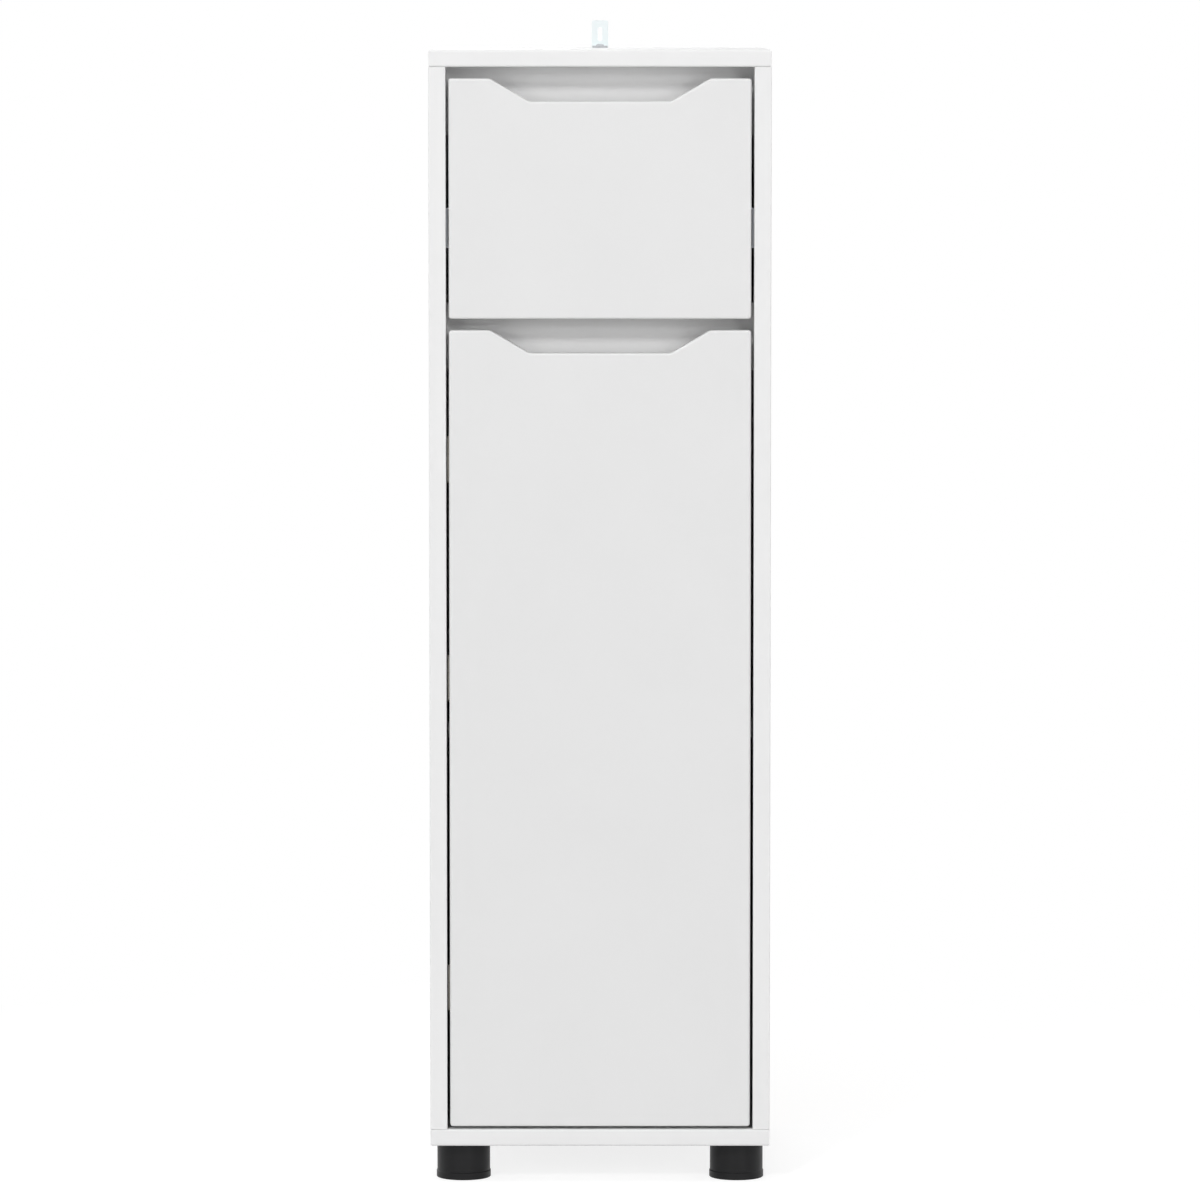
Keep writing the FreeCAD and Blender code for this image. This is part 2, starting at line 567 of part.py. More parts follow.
carcass_cam = cam("carcass_cam", "cam_diameter", "cam_depth", "board_thickness / 2")
drawer_cam = cam("drawer_cam", "small_cam_diameter", "small_cam_depth", "drawer_board / 2")
cam_bolt = body_for("cam_bolt", False)
BOLT_END = "0 - cam_reach - cam_bolt_past"
lathe(cam_bolt, (("0", BOLT_END), ("cam_bolt_shank / 2", BOLT_END),
                 ("cam_bolt_shank / 2", "0"), ("cam_bolt_thread / 2", "0"),
                 ("cam_bolt_thread / 2", "cam_bolt_insert"), ("0", "cam_bolt_insert")))
dowel = body_for("dowel", False)
lathe(dowel, (("0", "0 - dowel_long"), ("dowel_diameter / 2", "0 - dowel_long"),
              ("dowel_diameter / 2", "dowel_short"), ("0", "dowel_short")))
cams_at = []
bolts_at = []
dowels_at = []
for _, sign, number in SIDES:
    inward = V(-number, 0, 0)
    for lock, pin in ((CAM_FRONT, DOWEL_FRONT), (CAM_REAR, DOWEL_REAR)):
        cams_at.append((f"{sign} * {INNER}", lock, f"{CEILING} - cam_reach", facing(inward, V(0, 0, 1))))
        cams_at.append((f"{sign} * {INNER}", lock, f"{FLOOR} + cam_reach", facing(inward, V(0, 0, -1))))
        bolts_at.append((f"{sign} * {MID_SIDE}", lock, CEILING, UP))
        bolts_at.append((f"{sign} * {MID_SIDE}", lock, FLOOR, DOWN))
        dowels_at.append((f"{sign} * {MID_SIDE}", pin, CEILING, UP))
        dowels_at.append((f"{sign} * {MID_SIDE}", pin, FLOOR, DOWN))
    for level in (UPPER_RAIL, MIDDLE_RAIL):
        low = f"{level} + rail_height / 2 - rail_fixing_offset"
        high = f"{level} + rail_height / 2 + rail_fixing_offset"
        outward = RIGHT if number > 0 else LEFT
        across = V(number, 0, 0)
        cams_at.append((f"{sign} * ({INNER} - cam_reach)", RAIL_REAR, low, facing(V(0, 1, 0), across)))
        bolts_at.append((f"{sign} * {INNER}", RAIL_MID, low, outward))
        dowels_at.append((f"{sign} * {INNER}", RAIL_MID, high, outward))
group("cam_locks", carcass_cam, cams_at)
group("cam_bolts", cam_bolt, bolts_at)
group("wooden_dowels", dowel, dowels_at)

nail = body_for("nail", False)
lathe(nail, (("0", "0 - nail_length"), ("nail_shank / 2", "0 - nail_length"),
             ("nail_shank / 2", "0 - nail_head_height"), ("nail_head / 2", "0 - nail_head_height"),
             ("nail_head / 2", "0"), ("0", "0")))
group("back_nails", nail,
      [(f"{s} * {MID_SIDE}", REAR, z, REARWARD) for _, s, _ in SIDES for z in NAIL_LEVELS])


def foot(label, x, y):
    """Hollow round foot with a base rim, a screw boss and four ribs."""
    body = body_for(label)
    radius = "foot_diameter / 2"
    plate = "foot_height - foot_wall"
    boss = "foot_height - foot_boss_height"
    hole = "screw_shank / 2 + fit_play"
    lathe(body, ((hole, "foot_height"), (radius, "foot_height"), (radius, "foot_rim_height + foot_rim"),
                 (f"{radius} + foot_rim", "foot_rim_height"), (f"{radius} + foot_rim", "foot_rim"),
                 (radius, "0"), (f"{radius} - foot_wall", "0"), (f"{radius} - foot_wall", plate),
                 ("foot_boss_diameter / 2", plate), ("foot_boss_diameter / 2", boss), (hole, boss)))
    item = sketch_in(body, "XY_Plane", boss)
    block(item, "foot_boss_diameter / 2 - fit_play", f"{radius} - foot_wall / 2",
          "0 - foot_wall / 2", "foot_wall / 2")
    rib = pad(body, item, "foot_boss_height - foot_wall / 2")
    ring = body.newObject("PartDesign::PolarPattern", f"{label}_ribs")
    ring.Originals = [rib]
    ring.Axis = (origin(body, "Z_Axis"), [""])
    ring.Angle = 360
    ring.Occurrences = 4
    body.Tip = ring
    document.recompute()
    place(body, x, y, "0")
    return body


for row_name, row_sign in (("front", "-1"), ("rear", "1")):
    for name, sign, _ in SIDES:
        foot(f"{row_name}_{name}_foot", f"{sign} * {FOOT_X}", f"{row_sign} * {FOOT_Y}")


def screw(label, length):
    """Pan head screw with its bearing face at local z zero."""
    body = body_for(label, False)
    lathe(body, (("0", f"0 - {length}"), ("screw_shank / 2", f"0 - {length}"), ("screw_shank / 2", "0"),
                 ("screw_head / 2", "0"), ("screw_head / 2", "screw_head_height"),
                 ("0", "screw_head_height")))
    return body


short_screw = screw("short_screw", "screw_length")
foot_screw = screw("foot_screw", "foot_screw_length")
drawer_screw = screw("drawer_screw", "long_screw_length")
group("foot_screws", foot_screw, [(x, y, "foot_height - foot_boss_height", DOWN) for x, y in feet_at])

# Wall bracket: one leg on the top board, one slotted leg against the wall.
bracket = body_for("wall_bracket")
item = sketch_in(bracket, "YZ_Plane", "0 - bracket_width / 2")
outline(item, (("0", "0"), ("0", "bracket_rise"), ("0 - bracket_sheet", "bracket_rise"),
               ("0 - bracket_sheet", "bracket_sheet"), ("0 - bracket_reach", "bracket_sheet"),
               ("0 - bracket_reach", "0")))
pad(bracket, item, "bracket_width")
soften(bracket, lambda m, run, box: near(abs(run.y), 1) and near(m.z, box.ZMax), "bracket_round")
soften(bracket, lambda m, run, box: near(abs(run.z), 1) and near(m.y, box.YMin), "bracket_round")
slot(bracket, "XZ_Plane", "0", ("0", "slot_rise"), "slot_length", "slot_width", "bracket_sheet", True, True)
bore(bracket, "XY_Plane", "bracket_sheet", (("0", "bracket_screw_inset - bracket_reach"),),
     "screw_shank + 2 * fit_play", "bracket_sheet")
place(bracket, "0", REAR, "cabinet_height")
group("wall_bracket_screw", short_screw,
      [("0", f"{REAR} - bracket_reach + bracket_screw_inset", "cabinet_height + bracket_sheet", UP)])


def runner(label, corners, face, number, inner):
    """Runner channel along the depth: a drilled and slotted web, and stop tabs for the ball cages."""
    body = body_for(label)
    item = sketch_in(body, "XZ_Plane")
    outline(item, corners)
    pad(body, item, "runner_length", True)
    screws = (("runner_screw_inset", "0"), ("runner_length - runner_screw_inset", "0"))
    bore(body, "YZ_Plane", face, screws, "screw_shank + 2 * fit_play", "runner_sheet")
    for along in ("runner_slot_inset", "runner_length / 2", "runner_length - runner_slot_inset"):
        slot(body, "YZ_Plane", face, (along, "0"), "runner_slot_length", "runner_slot_width",
             "runner_sheet", inner)
    low, high = INNER_STOP if inner else OUTER_STOP
    end = "0" if (number < 0) != inner else "runner_length - runner_sheet"
    for levels in ((low, high), (f"0 - {high}", f"0 - {low}")):
        item = sketch_in(body, "XZ_Plane", f"0 - ({end})")
        block(item, "ball_line - stop_width / 2", "ball_line + stop_width / 2", *levels)
        pad(body, item, "runner_sheet", True)
    if number < 0:
        place(body, f"0 - {INNER}", RUNNER_FRONT, RUNNER_LEVEL)
    else:
        place(body, INNER, RUNNER_REAR, RUNNER_LEVEL, HALF_TURN)
    return body


# Runner channels seen from the front: the outer one on the side board, the inner one on the drawer.
FLANGE_IN = "runner_flange - runner_sheet"
EDGE = "runner_height / 2"
EDGE_IN = "(runner_height / 2 - runner_sheet)"
TIP = f"({EDGE_IN} - runner_lip)"
OUTER_PROFILE = (("0", f"0 - {EDGE}"), ("runner_flange", f"0 - {EDGE}"), ("runner_flange", f"0 - {TIP}"),
                 (FLANGE_IN, f"0 - {TIP}"), (FLANGE_IN, f"0 - {EDGE_IN}"),
                 ("runner_sheet", f"0 - {EDGE_IN}"),
                 ("runner_sheet", EDGE_IN), (FLANGE_IN, EDGE_IN), (FLANGE_IN, TIP), ("runner_flange", TIP),
                 ("runner_flange", EDGE), ("0", EDGE))
WEB_IN = "runner_space - runner_sheet"
INNER_TIP = "runner_space - inner_runner_flange"
RIM = "inner_runner_height / 2"
RIM_IN = "(inner_runner_height / 2 - runner_sheet)"
INNER_PROFILE = ((INNER_TIP, f"0 - {RIM}"), ("runner_space", f"0 - {RIM}"), ("runner_space", RIM),
                 (INNER_TIP, RIM), (INNER_TIP, RIM_IN), (WEB_IN, RIM_IN), (WEB_IN, f"0 - {RIM_IN}"),
                 (INNER_TIP, f"0 - {RIM_IN}"))
# A stop tab grows from inside a flange: from the front end of an outer one, the rear end of an inner one.
OUTER_STOP = (f"({RIM} + stop_play)", f"({EDGE_IN} + runner_sheet / 2)")
INNER_STOP = (f"({RIM_IN} + runner_sheet / 2)", f"({EDGE_IN} - stop_play)")
for name, _, number in SIDES:
    runner(f"{name}_runner_outer", OUTER_PROFILE, "runner_sheet", number, False)
    runner(f"{name}_runner_inner", INNER_PROFILE, "runner_space", number, True)
group("runner_screws", short_screw,
      [(f"{s} * ({INNER} - runner_sheet)", y, RUNNER_LEVEL, RIGHT if n < 0 else LEFT)
       for _, s, n in SIDES for y in RUNNER_SCREWS])
group("drawer_runner_screws", short_screw,
      [(f"{s} * ({BOX_HALF} + runner_sheet)", y, RUNNER_LEVEL, LEFT if n < 0 else RIGHT)
       for _, s, n in SIDES for y in RUNNER_SCREWS])

# Ball cage: a strip that carries a row of five balls.
BALLS = 5
cage = body_for("cage", False)
item = sketch_in(cage, "XY_Plane", "0 - cage_sheet / 2")
block(item, "0 - cage_width / 2", "cage_width / 2", "0", "cage_length")
pad(cage, item, "cage_sheet")
ball = cage.newObject("PartDesign::AdditiveSphere", "cage_ball")
ball.AttachmentSupport = [(origin(cage, "XY_Plane"), "")]
ball.MapMode = "FlatFace"
bind(ball, "Radius", f"({EDGE_IN} - {RIM} - ball_play) / 2")
bind(ball, "AttachmentOffset.Base.y", f"(cage_length - ball_spacing * {BALLS - 1}) / 2")
document.recompute()
balls = cage.newObject("PartDesign::LinearPattern", "cage_balls")
balls.Originals = [ball]
balls.Direction = (origin(cage, "Y_Axis"), [""])
bind(balls, "Length", f"ball_spacing * {BALLS - 1}")
balls.Occurrences = BALLS
cage.Tip = balls
document.recompute()
BALL_OFFSET = f"({EDGE_IN} + {RIM}) / 2"
for name, sign, _ in SIDES:
    group(f"{name}_ball_cages", cage,
          [(f"{sign} * ({INNER} - ball_line)", f"{RUNNER_FRONT} + cage_start",
            f"{RUNNER_LEVEL} {s} {BALL_OFFSET}", UP) for s in "+-"])


def front(label, height, level):
    """Drawer front or door with a sloped finger notch in its top edge."""
    body = body_for(label)
    item = sketch_in(body, "XZ_Plane")
    floor = f"{height} - notch_depth"
    outline(item, ((f"0 - {FRONT_HALF}", "0"), (FRONT_HALF, "0"), (FRONT_HALF, height),
                   ("notch_mouth_width / 2", height), ("notch_floor_width / 2", floor),
                   ("0 - notch_floor_width / 2", floor), ("0 - notch_mouth_width / 2", height),
                   (f"0 - {FRONT_HALF}", height)))
    pad(body, item, "board_thickness")
    soften(body, lambda m, run, box: near(abs(run.y), 1) and abs(m.x) < box.XMax * 0.95, "notch_round")
    soften(body, lambda m, run, box: near(abs(run.y), 1) and near(abs(m.x), box.XMax), "front_corner_round")
    soften(body, lambda m, run, box: near(m.y, box.YMin), "front_edge_round")
    place(body, "0", FRONT_BACK, level)
    return body


# Drawer: notched front, two grooved sides, back and floor.
drawer_front = front("drawer_front", "drawer_front_height", DRAWER_FOOT)
item = sketch_in(drawer_front, "XZ_Plane")
groove_low = f"{BOX_FOOT} + groove_rise - {DRAWER_FOOT}"
block(item, f"0 - {BOX_INNER} - groove_depth", f"{BOX_INNER} + groove_depth",
      groove_low, f"{groove_low} + drawer_floor + groove_play")
sink(drawer_front, item, "groove_depth", True)
front_bolts = [(f"{s} * {BOX_MID}", f"{z} - {DRAWER_FOOT}")
               for _, s, _ in SIDES for z in (BOX_LOW, BOX_HIGH)]
bore(drawer_front, "XZ_Plane", "0", front_bolts, "cam_bolt_thread + fit_play", "cam_bolt_insert", True)


def drawer_side(name, number):
    """Drawer side with a floor groove, cam lock bores and screw bores."""
    body = body_for(f"drawer_{name}_side")
    left = number < 0
    inside = "drawer_board" if left else "0"
    outside = "0" if left else "drawer_board"
    item = sketch_in(body, "YZ_Plane")
    block(item, FRONT_BACK, BOX_REAR, "0", BOX_HEIGHT)
    pad(body, item, "drawer_board")
    item = sketch_in(body, "YZ_Plane", inside)
    block(item, FRONT_BACK, BOX_REAR, "groove_rise", "groove_rise + drawer_floor + groove_play")
    sink(body, item, "groove_depth", not left)
    levels = ("drawer_fixing_inset", f"{BOX_HEIGHT} - drawer_fixing_inset")
    cams = [(f"{FRONT_BACK} + cam_reach", z) for z in levels]
    bore(body, "YZ_Plane", inside, cams, "small_cam_diameter + fit_play", "small_cam_depth", not left)
    bolts = [("drawer_board / 2", z) for z in levels]
    bore(body, "XZ_Plane", f"0 - {FRONT_BACK}", bolts, "cam_bolt_thread + fit_play", "cam_reach")
    screws = [(BACK_MID, z) for z in levels]
    bore(body, "YZ_Plane", "drawer_board", screws, "screw_shank + 2 * fit_play", "drawer_board")
    pilots = [(y, "runner_rise") for y in RUNNER_SCREWS]
    bore(body, "YZ_Plane", outside, pilots, "screw_shank + fit_play", "screw_length - runner_sheet", left)
    place(body, f"0 - {BOX_HALF}" if left else BOX_INNER, "0", BOX_FOOT)
    return body


for name, _, number in SIDES:
    drawer_side(name, number)
drawer_back = body_for("drawer_back")
item = sketch_in(drawer_back, "XZ_Plane")
block(item, f"0 - {BOX_INNER}", BOX_INNER, "groove_rise + drawer_floor", BOX_HEIGHT)
pad(drawer_back, item, "drawer_board", True)
back_levels = ("drawer_fixing_inset", f"{BOX_HEIGHT} - drawer_fixing_inset")
back_screws = [("drawer_board / 2", z) for z in back_levels]
for sign, flip in (("-1", True), ("1", False)):
    bore(drawer_back, "YZ_Plane", f"{sign} * {BOX_INNER}", back_screws, "screw_shank + fit_play",
         "long_screw_length - drawer_board", flip)
place(drawer_back, "0", f"{BOX_REAR} - drawer_board", BOX_FOOT)
drawer_bottom = body_for("drawer_bottom")
item = sketch_in(drawer_bottom, "XY_Plane")
floor_half = f"({BOX_INNER} + groove_depth - groove_play)"
block(item, f"0 - {floor_half}", floor_half, f"{FRONT_BACK} - groove_depth + groove_play", BOX_REAR)
pad(drawer_bottom, item, "drawer_floor")
place(drawer_bottom, z=f"{BOX_FOOT} + groove_rise")
group("drawer_cam_locks", drawer_cam,
      [(f"{s} * {BOX_INNER}", f"{FRONT_BACK} + cam_reach", z, facing(V(-n, 0, 0), V(0, -1, 0)))
       for _, s, n in SIDES for z in (BOX_LOW, BOX_HIGH)])
group("drawer_cam_bolts", cam_bolt,
      [(f"{s} * {BOX_MID}", FRONT_BACK, z, FORWARD) for _, s, _ in SIDES for z in (BOX_LOW, BOX_HIGH)])
group("drawer_screws", drawer_screw,
      [(f"{s} * {BOX_HALF}", BACK_MID, z, LEFT if n < 0 else RIGHT)
       for _, s, n in SIDES for z in (BOX_LOW, BOX_HIGH)])

# Door with three cup bores along its left edge.
door = front("door_panel", f"({DOOR_TOP} - {DOOR_FOOT})", DOOR_FOOT)
cup_bores = [(CUP_X, f"{z} - {DOOR_FOOT}") for z in HINGES.values()]
bore(door, "XZ_Plane", "0", cup_bores, "cup_diameter", "cup_depth", True)
cup_pilots = [(f"{CUP_X} + cup_screw_across", f"{z} - {DOOR_FOOT} {s} cup_screw_span / 2")
              for z in HINGES.values() for s in "+-"]
bore(door, "XZ_Plane", "0", cup_pilots, "screw_shank + fit_play", "screw_length - flange_sheet", True)

EAR_OUT = "(arm_width / 2 + ear_play + ear_sheet)"
PIN_X = f"({AXIS_X} - {CUP_X})"
PIN_Y = f"({AXIS_Y} - {FRONT_BACK})"
SEAT = f"(plate_rise - {INNER} - {AXIS_X})"
CHEEK = f"(plate_wing_sheet + cheek_play - {INNER} - {AXIS_X})"
ARM_SCREWS = ("arm_adjuster_back", "arm_screw_back")


def hinge_cup(name, level):
    """Pressed cup with a screwed flange and two ears for the pin."""
    body = body_for(f"{name}_hinge_cup")
    item = sketch_in(body, "XZ_Plane")
    block(item, "0 - flange_near", "flange_far", "0 - flange_span / 2", "flange_span / 2")
    pad(body, item, "flange_sheet", True)
    soften(body, lambda m, run, box: near(abs(run.y), 1), "flange_round")
    item = sketch_in(body, "XZ_Plane")
    rings(item, (("0", "0"),), "cup_diameter + 2 * cup_rim")
    pad(body, item, "flange_sheet", True)
    item = sketch_in(body, "XZ_Plane")
    rings(item, (("0", "0"),), "cup_diameter - fit_play")
    pad(body, item, "cup_depth")
    bore(body, "XZ_Plane", "0 - flange_sheet", (("0", "0"),), "cup_diameter - fit_play - 2 * cup_sheet",
         "flange_sheet + cup_depth - cup_sheet", True)
    for lift in ("arm_width / 2 + ear_play", f"0 - {EAR_OUT}"):
        item = sketch_in(body, "XY_Plane", lift)
        block(item, f"{PIN_X} - ear_width / 2", f"{PIN_X} + ear_width / 2",
              "cup_sheet / 2 - cup_depth", f"{PIN_Y} + ear_width / 2")
        pad(body, item, "ear_sheet")
    bore(body, "XY_Plane", EAR_OUT, ((PIN_X, PIN_Y),), "hinge_pin_diameter + fit_play", f"2 * {EAR_OUT}")
    screws = [("cup_screw_across", f"{s} cup_screw_span / 2") for s in ("0 +", "0 -")]
    bore(body, "XZ_Plane", "0 - flange_sheet", screws, "screw_shank + 2 * fit_play", "flange_sheet", True)
    place(body, CUP_X, FRONT_BACK, level)
    return body


def hinge_plate(name, level):
    """Mounting plate: two screwed wings and a block that seats the arm."""
    body = body_for(f"{name}_hinge_plate")
    item = sketch_in(body, "YZ_Plane")
    block(item, "plate_wing_back - plate_wing_width / 2", "plate_wing_back + plate_wing_width / 2",
          "0 - plate_wing_span / 2", "plate_wing_span / 2")
    pad(body, item, "plate_wing_sheet")
    soften(body, lambda m, run, box: near(abs(run.x), 1), "plate_wing_width * 2 / 5")
    item = sketch_in(body, "YZ_Plane")
    half = "(arm_width / 2 - cheek_sheet - cheek_play)"
    block(item, "plate_front_back", "arm_tail_back", f"0 - {half}", half)
    pad(body, item, "plate_rise")
    screws = [("plate_wing_back", f"{s} plate_screw_span / 2") for s in ("0 +", "0 -")]
    bore(body, "YZ_Plane", "plate_wing_sheet", screws, "screw_shank + 2 * fit_play", "plate_wing_sheet")
    bore(body, "YZ_Plane", "plate_rise", [(back, "0") for back in ARM_SCREWS], "screw_shank + fit_play",
         "screw_length - arm_sheet")
    place(body, f"0 - {INNER}", AXIS_Y, level)
    return body


def extruded(label, source, height, lift):
    """Raise a flat face along z from a lift."""
    feature = document.addObject("Part::Extrusion", label)
    feature.Base = source
    feature.DirMode = "Custom"
    feature.Dir = V(0, 0, 1)
    feature.Solid = True
    bind(feature, "LengthFwd", height)
    bind(feature, "Placement.Base.z", lift)
    return feature


def drill(label, diameter, height, x, y, z, turn=None):
    """Cylinder along its own z, turned and placed."""
    feature = document.addObject("Part::Cylinder", label)
    bind(feature, "Radius", f"({diameter}) / 2")
    bind(feature, "Height", height)
    place(feature, x, y, z, turn)
    return feature


def hinge_arm(name, level):
    """Bent arm: a rolled eye at the pin, two cheeks over the plate block and a slot in its tail."""
    label = f"{name}_hinge_arm"
    path = document.addObject("Sketcher::SketchObject", f"{label}_path")
    middle = f"{SEAT} + arm_sheet / 2"
    outline(path, (("0", "0"), ("arm_nose_across", "arm_nose_back"),
                   ("arm_bend_across", "arm_bend_back"), ("arm_turn_across", "arm_turn_back"),
                   ("0 - arm_heel_across", "arm_heel_back"), (middle, "arm_seat_back"),
                   (middle, "arm_tail_back - arm_sheet / 2")), False)
    strip = document.addObject("Part::Offset2D", f"{label}_strip")
    strip.Source = path
    strip.Fill = True
    strip.Join = 0
    bind(strip, "Value", "arm_sheet / 2")
    half = "0 - arm_width / 2"
    side = document.addObject("Sketcher::SketchObject", f"{label}_side")
    outline(side, ((f"{SEAT} + arm_sheet", "arm_seat_back"), (f"{SEAT} + arm_sheet", "arm_tail_back"),
                   (CHEEK, "arm_tail_back"), (CHEEK, "arm_cheek_back"), (SEAT, "arm_seat_back")))
    pieces = [
        extruded(f"{label}_web", strip, "arm_width", half),
        extruded(f"{label}_low_cheek", side, "cheek_sheet", half),
        extruded(f"{label}_high_cheek", side, "cheek_sheet", "arm_width / 2 - cheek_sheet"),
        drill(f"{label}_eye", "eye_diameter", "arm_width", "0", "0", half),
    ]
    whole = document.addObject("Part::MultiFuse", f"{label}_whole")
    whole.Shapes = pieces
    tail_slot = document.addObject("Part::Box", f"{label}_tail_slot")
    bind(tail_slot, "Length", "arm_sheet")
    bind(tail_slot, "Width", "arm_tail_back - arm_screw_back")
    bind(tail_slot, "Height", "screw_shank + 2 * fit_play")
    place(tail_slot, SEAT, "arm_screw_back", "0 - screw_shank / 2 - fit_play")
    holes = document.addObject("Part::MultiFuse", f"{label}_holes")
    holes.Shapes = [
        drill(f"{label}_pin_hole", "hinge_pin_diameter + fit_play", "arm_width", "0", "0", half),
        tail_slot,
    ] + [
        drill(f"{label}_{back}_hole", "screw_shank + 2 * fit_play", "arm_sheet", SEAT, back, "0", RIGHT)
        for back in ARM_SCREWS
    ]
    arm = document.addObject("Part::Cut", label)
    arm.Label = label
    arm.Base = whole
    arm.Tool = holes
    place(arm, AXIS_X, AXIS_Y, level)
    document.recompute()
    nodes.append(arm)
    return arm


for hinge, level in HINGES.items():
    hinge_cup(hinge, level)
    hinge_plate(hinge, level)
    hinge_arm(hinge, level)
hinge_pin = body_for("hinge_pin", False)
lathe(hinge_pin, (("0", f"0 - {EAR_OUT}"), ("hinge_pin_diameter / 2", f"0 - {EAR_OUT}"),
                  ("hinge_pin_diameter / 2", EAR_OUT), ("0", EAR_OUT)))
group("hinge_pins", hinge_pin, [(AXIS_X, AXIS_Y, z, UP) for z in HINGES.values()])
group("hinge_cup_screws", short_screw,
      [(f"{CUP_X} + cup_screw_across", f"{FRONT_BACK} + flange_sheet",
        f"{z} {s} cup_screw_span / 2", REARWARD) for z in HINGES.values() for s in "+-"])
group("hinge_plate_screws", short_screw,
      [(f"plate_wing_sheet - {INNER}", WING_Y, f"{z} {s} plate_screw_span / 2", RIGHT)
       for z in HINGES.values() for s in "+-"])
group("hinge_arm_screws", short_screw,
      [(f"plate_rise + arm_sheet - {INNER}", f"{AXIS_Y} + {back}", z, RIGHT)
       for z in HINGES.values() for back in ARM_SCREWS])

document.recompute()
for item in document.Objects:
    if "Invalid" in item.State or "Error" in item.State:
        raise RuntimeError(f"{item.Label}: {item.State}")
os.makedirs("parts", exist_ok=True)
for node in nodes:
    if node.Shape.isNull() or not node.Shape.isValid():
        raise RuntimeError(f"{node.Label}: no valid shape")
    node.Shape.exportStep(f"parts/{node.Label}.step")
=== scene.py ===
"""Looks of a slim white bathroom cabinet, with a drawer above a door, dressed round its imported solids."""

import json
import logging
import math
from dataclasses import dataclass, replace
from enum import IntEnum
from functools import cache
from typing import Any, Iterable

import bpy
import numpy as np
from mathutils import Matrix, Vector

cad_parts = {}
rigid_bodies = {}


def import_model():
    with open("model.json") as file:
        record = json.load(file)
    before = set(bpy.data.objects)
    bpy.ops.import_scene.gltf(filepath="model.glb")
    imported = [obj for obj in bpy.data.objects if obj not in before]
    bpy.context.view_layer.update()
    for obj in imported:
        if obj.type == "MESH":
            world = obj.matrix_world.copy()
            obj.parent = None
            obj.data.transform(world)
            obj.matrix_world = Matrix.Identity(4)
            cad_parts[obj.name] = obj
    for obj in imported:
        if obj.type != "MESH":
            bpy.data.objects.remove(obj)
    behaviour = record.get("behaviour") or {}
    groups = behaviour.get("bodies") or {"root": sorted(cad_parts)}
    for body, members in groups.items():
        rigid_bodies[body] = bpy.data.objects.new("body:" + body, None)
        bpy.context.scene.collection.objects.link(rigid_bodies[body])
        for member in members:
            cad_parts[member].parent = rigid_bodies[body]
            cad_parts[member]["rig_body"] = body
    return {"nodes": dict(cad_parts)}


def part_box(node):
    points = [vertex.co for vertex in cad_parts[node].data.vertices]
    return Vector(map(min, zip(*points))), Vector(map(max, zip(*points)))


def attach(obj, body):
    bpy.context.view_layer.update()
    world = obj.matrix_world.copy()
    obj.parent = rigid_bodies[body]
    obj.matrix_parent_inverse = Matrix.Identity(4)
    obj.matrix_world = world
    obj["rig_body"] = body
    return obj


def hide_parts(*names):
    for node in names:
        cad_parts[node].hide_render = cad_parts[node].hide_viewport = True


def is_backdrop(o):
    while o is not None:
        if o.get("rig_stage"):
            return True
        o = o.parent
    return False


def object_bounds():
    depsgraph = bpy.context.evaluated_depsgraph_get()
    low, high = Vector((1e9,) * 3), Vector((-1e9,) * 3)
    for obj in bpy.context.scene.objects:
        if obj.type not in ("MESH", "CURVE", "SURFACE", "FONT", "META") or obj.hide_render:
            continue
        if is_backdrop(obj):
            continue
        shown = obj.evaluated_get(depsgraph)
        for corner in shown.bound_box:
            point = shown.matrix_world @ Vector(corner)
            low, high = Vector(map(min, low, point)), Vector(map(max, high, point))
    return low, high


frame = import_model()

log = logging.getLogger("bathroom_cabinet")
MM = 0.001
CAD_BOX = [list(corner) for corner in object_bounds()]
# Middle of a coordinate that runs from 0 to 1, such as a place across a board's box.
MIDDLE = 0.5
# Radians that Blender's wave texture turns through in one unit of its scaled coordinate.
WAVE_TURN = 20.0
Colour = tuple[float, float, float, float]
Points = list[tuple[float, float, float]]
Faces = list[tuple[int, ...]]
Tree = bpy.types.NodeTree
Socket = bpy.types.NodeSocket
Outputs = bpy.types.NodeOutputs


class Axis(IntEnum):
    """Directions of the frame: right, rear and up."""

    X = 0
    Y = 1
    Z = 2


class Mix(IntEnum):
    """Sockets of the node that mixes two colours: its three inputs and its output."""

    SHARE = 0
    LOW = 6
    HIGH = 7
    RESULT = 2


def linear(code: str) -> Colour:
    """Turn an sRGB hex colour into linear RGBA by the standard curve.

    Args:
        code: colour such as "#E4E4E4".

    Returns:
        Red, green, blue and alpha for a shader socket.
    """
    shades = [int(code[i:i + 2], 16) / 255 for i in (1, 3, 5)]
    red, green, blue = (c / 12.92 if c <= 0.04045 else ((c + 0.055) / 1.055) ** 2.4 for c in shades)
    return red, green, blue, 1.0


def add(tree: Tree, kind: str, inputs: dict[str | int, Any] | None = None, **settings: Any) -> bpy.types.Node:
    """Add a node with its settings, values and links.

    Args:
        tree: node tree that gets the node.
        kind: Blender's name of the node type.
        inputs: value or linked output for each input socket.
        settings: properties of the node.

    Returns:
        The new node.
    """
    item = tree.nodes.new(kind)
    for name, value in settings.items():
        setattr(item, name, value)
    for key, value in (inputs or {}).items():
        if isinstance(value, Socket):
            tree.links.new(value, item.inputs[key])
        else:
            item.inputs[key].default_value = value
    return item


def per_mm(size: float) -> float:
    """Pattern scale whose features are about this many millimetres across."""
    return 1 / (size * MM)


@dataclass(frozen=True)
class Ground:
    """What a pattern is laid on: a node tree, its coordinates, and the stretched places in metres."""

    tree: Tree
    where: Outputs
    mapped: Socket


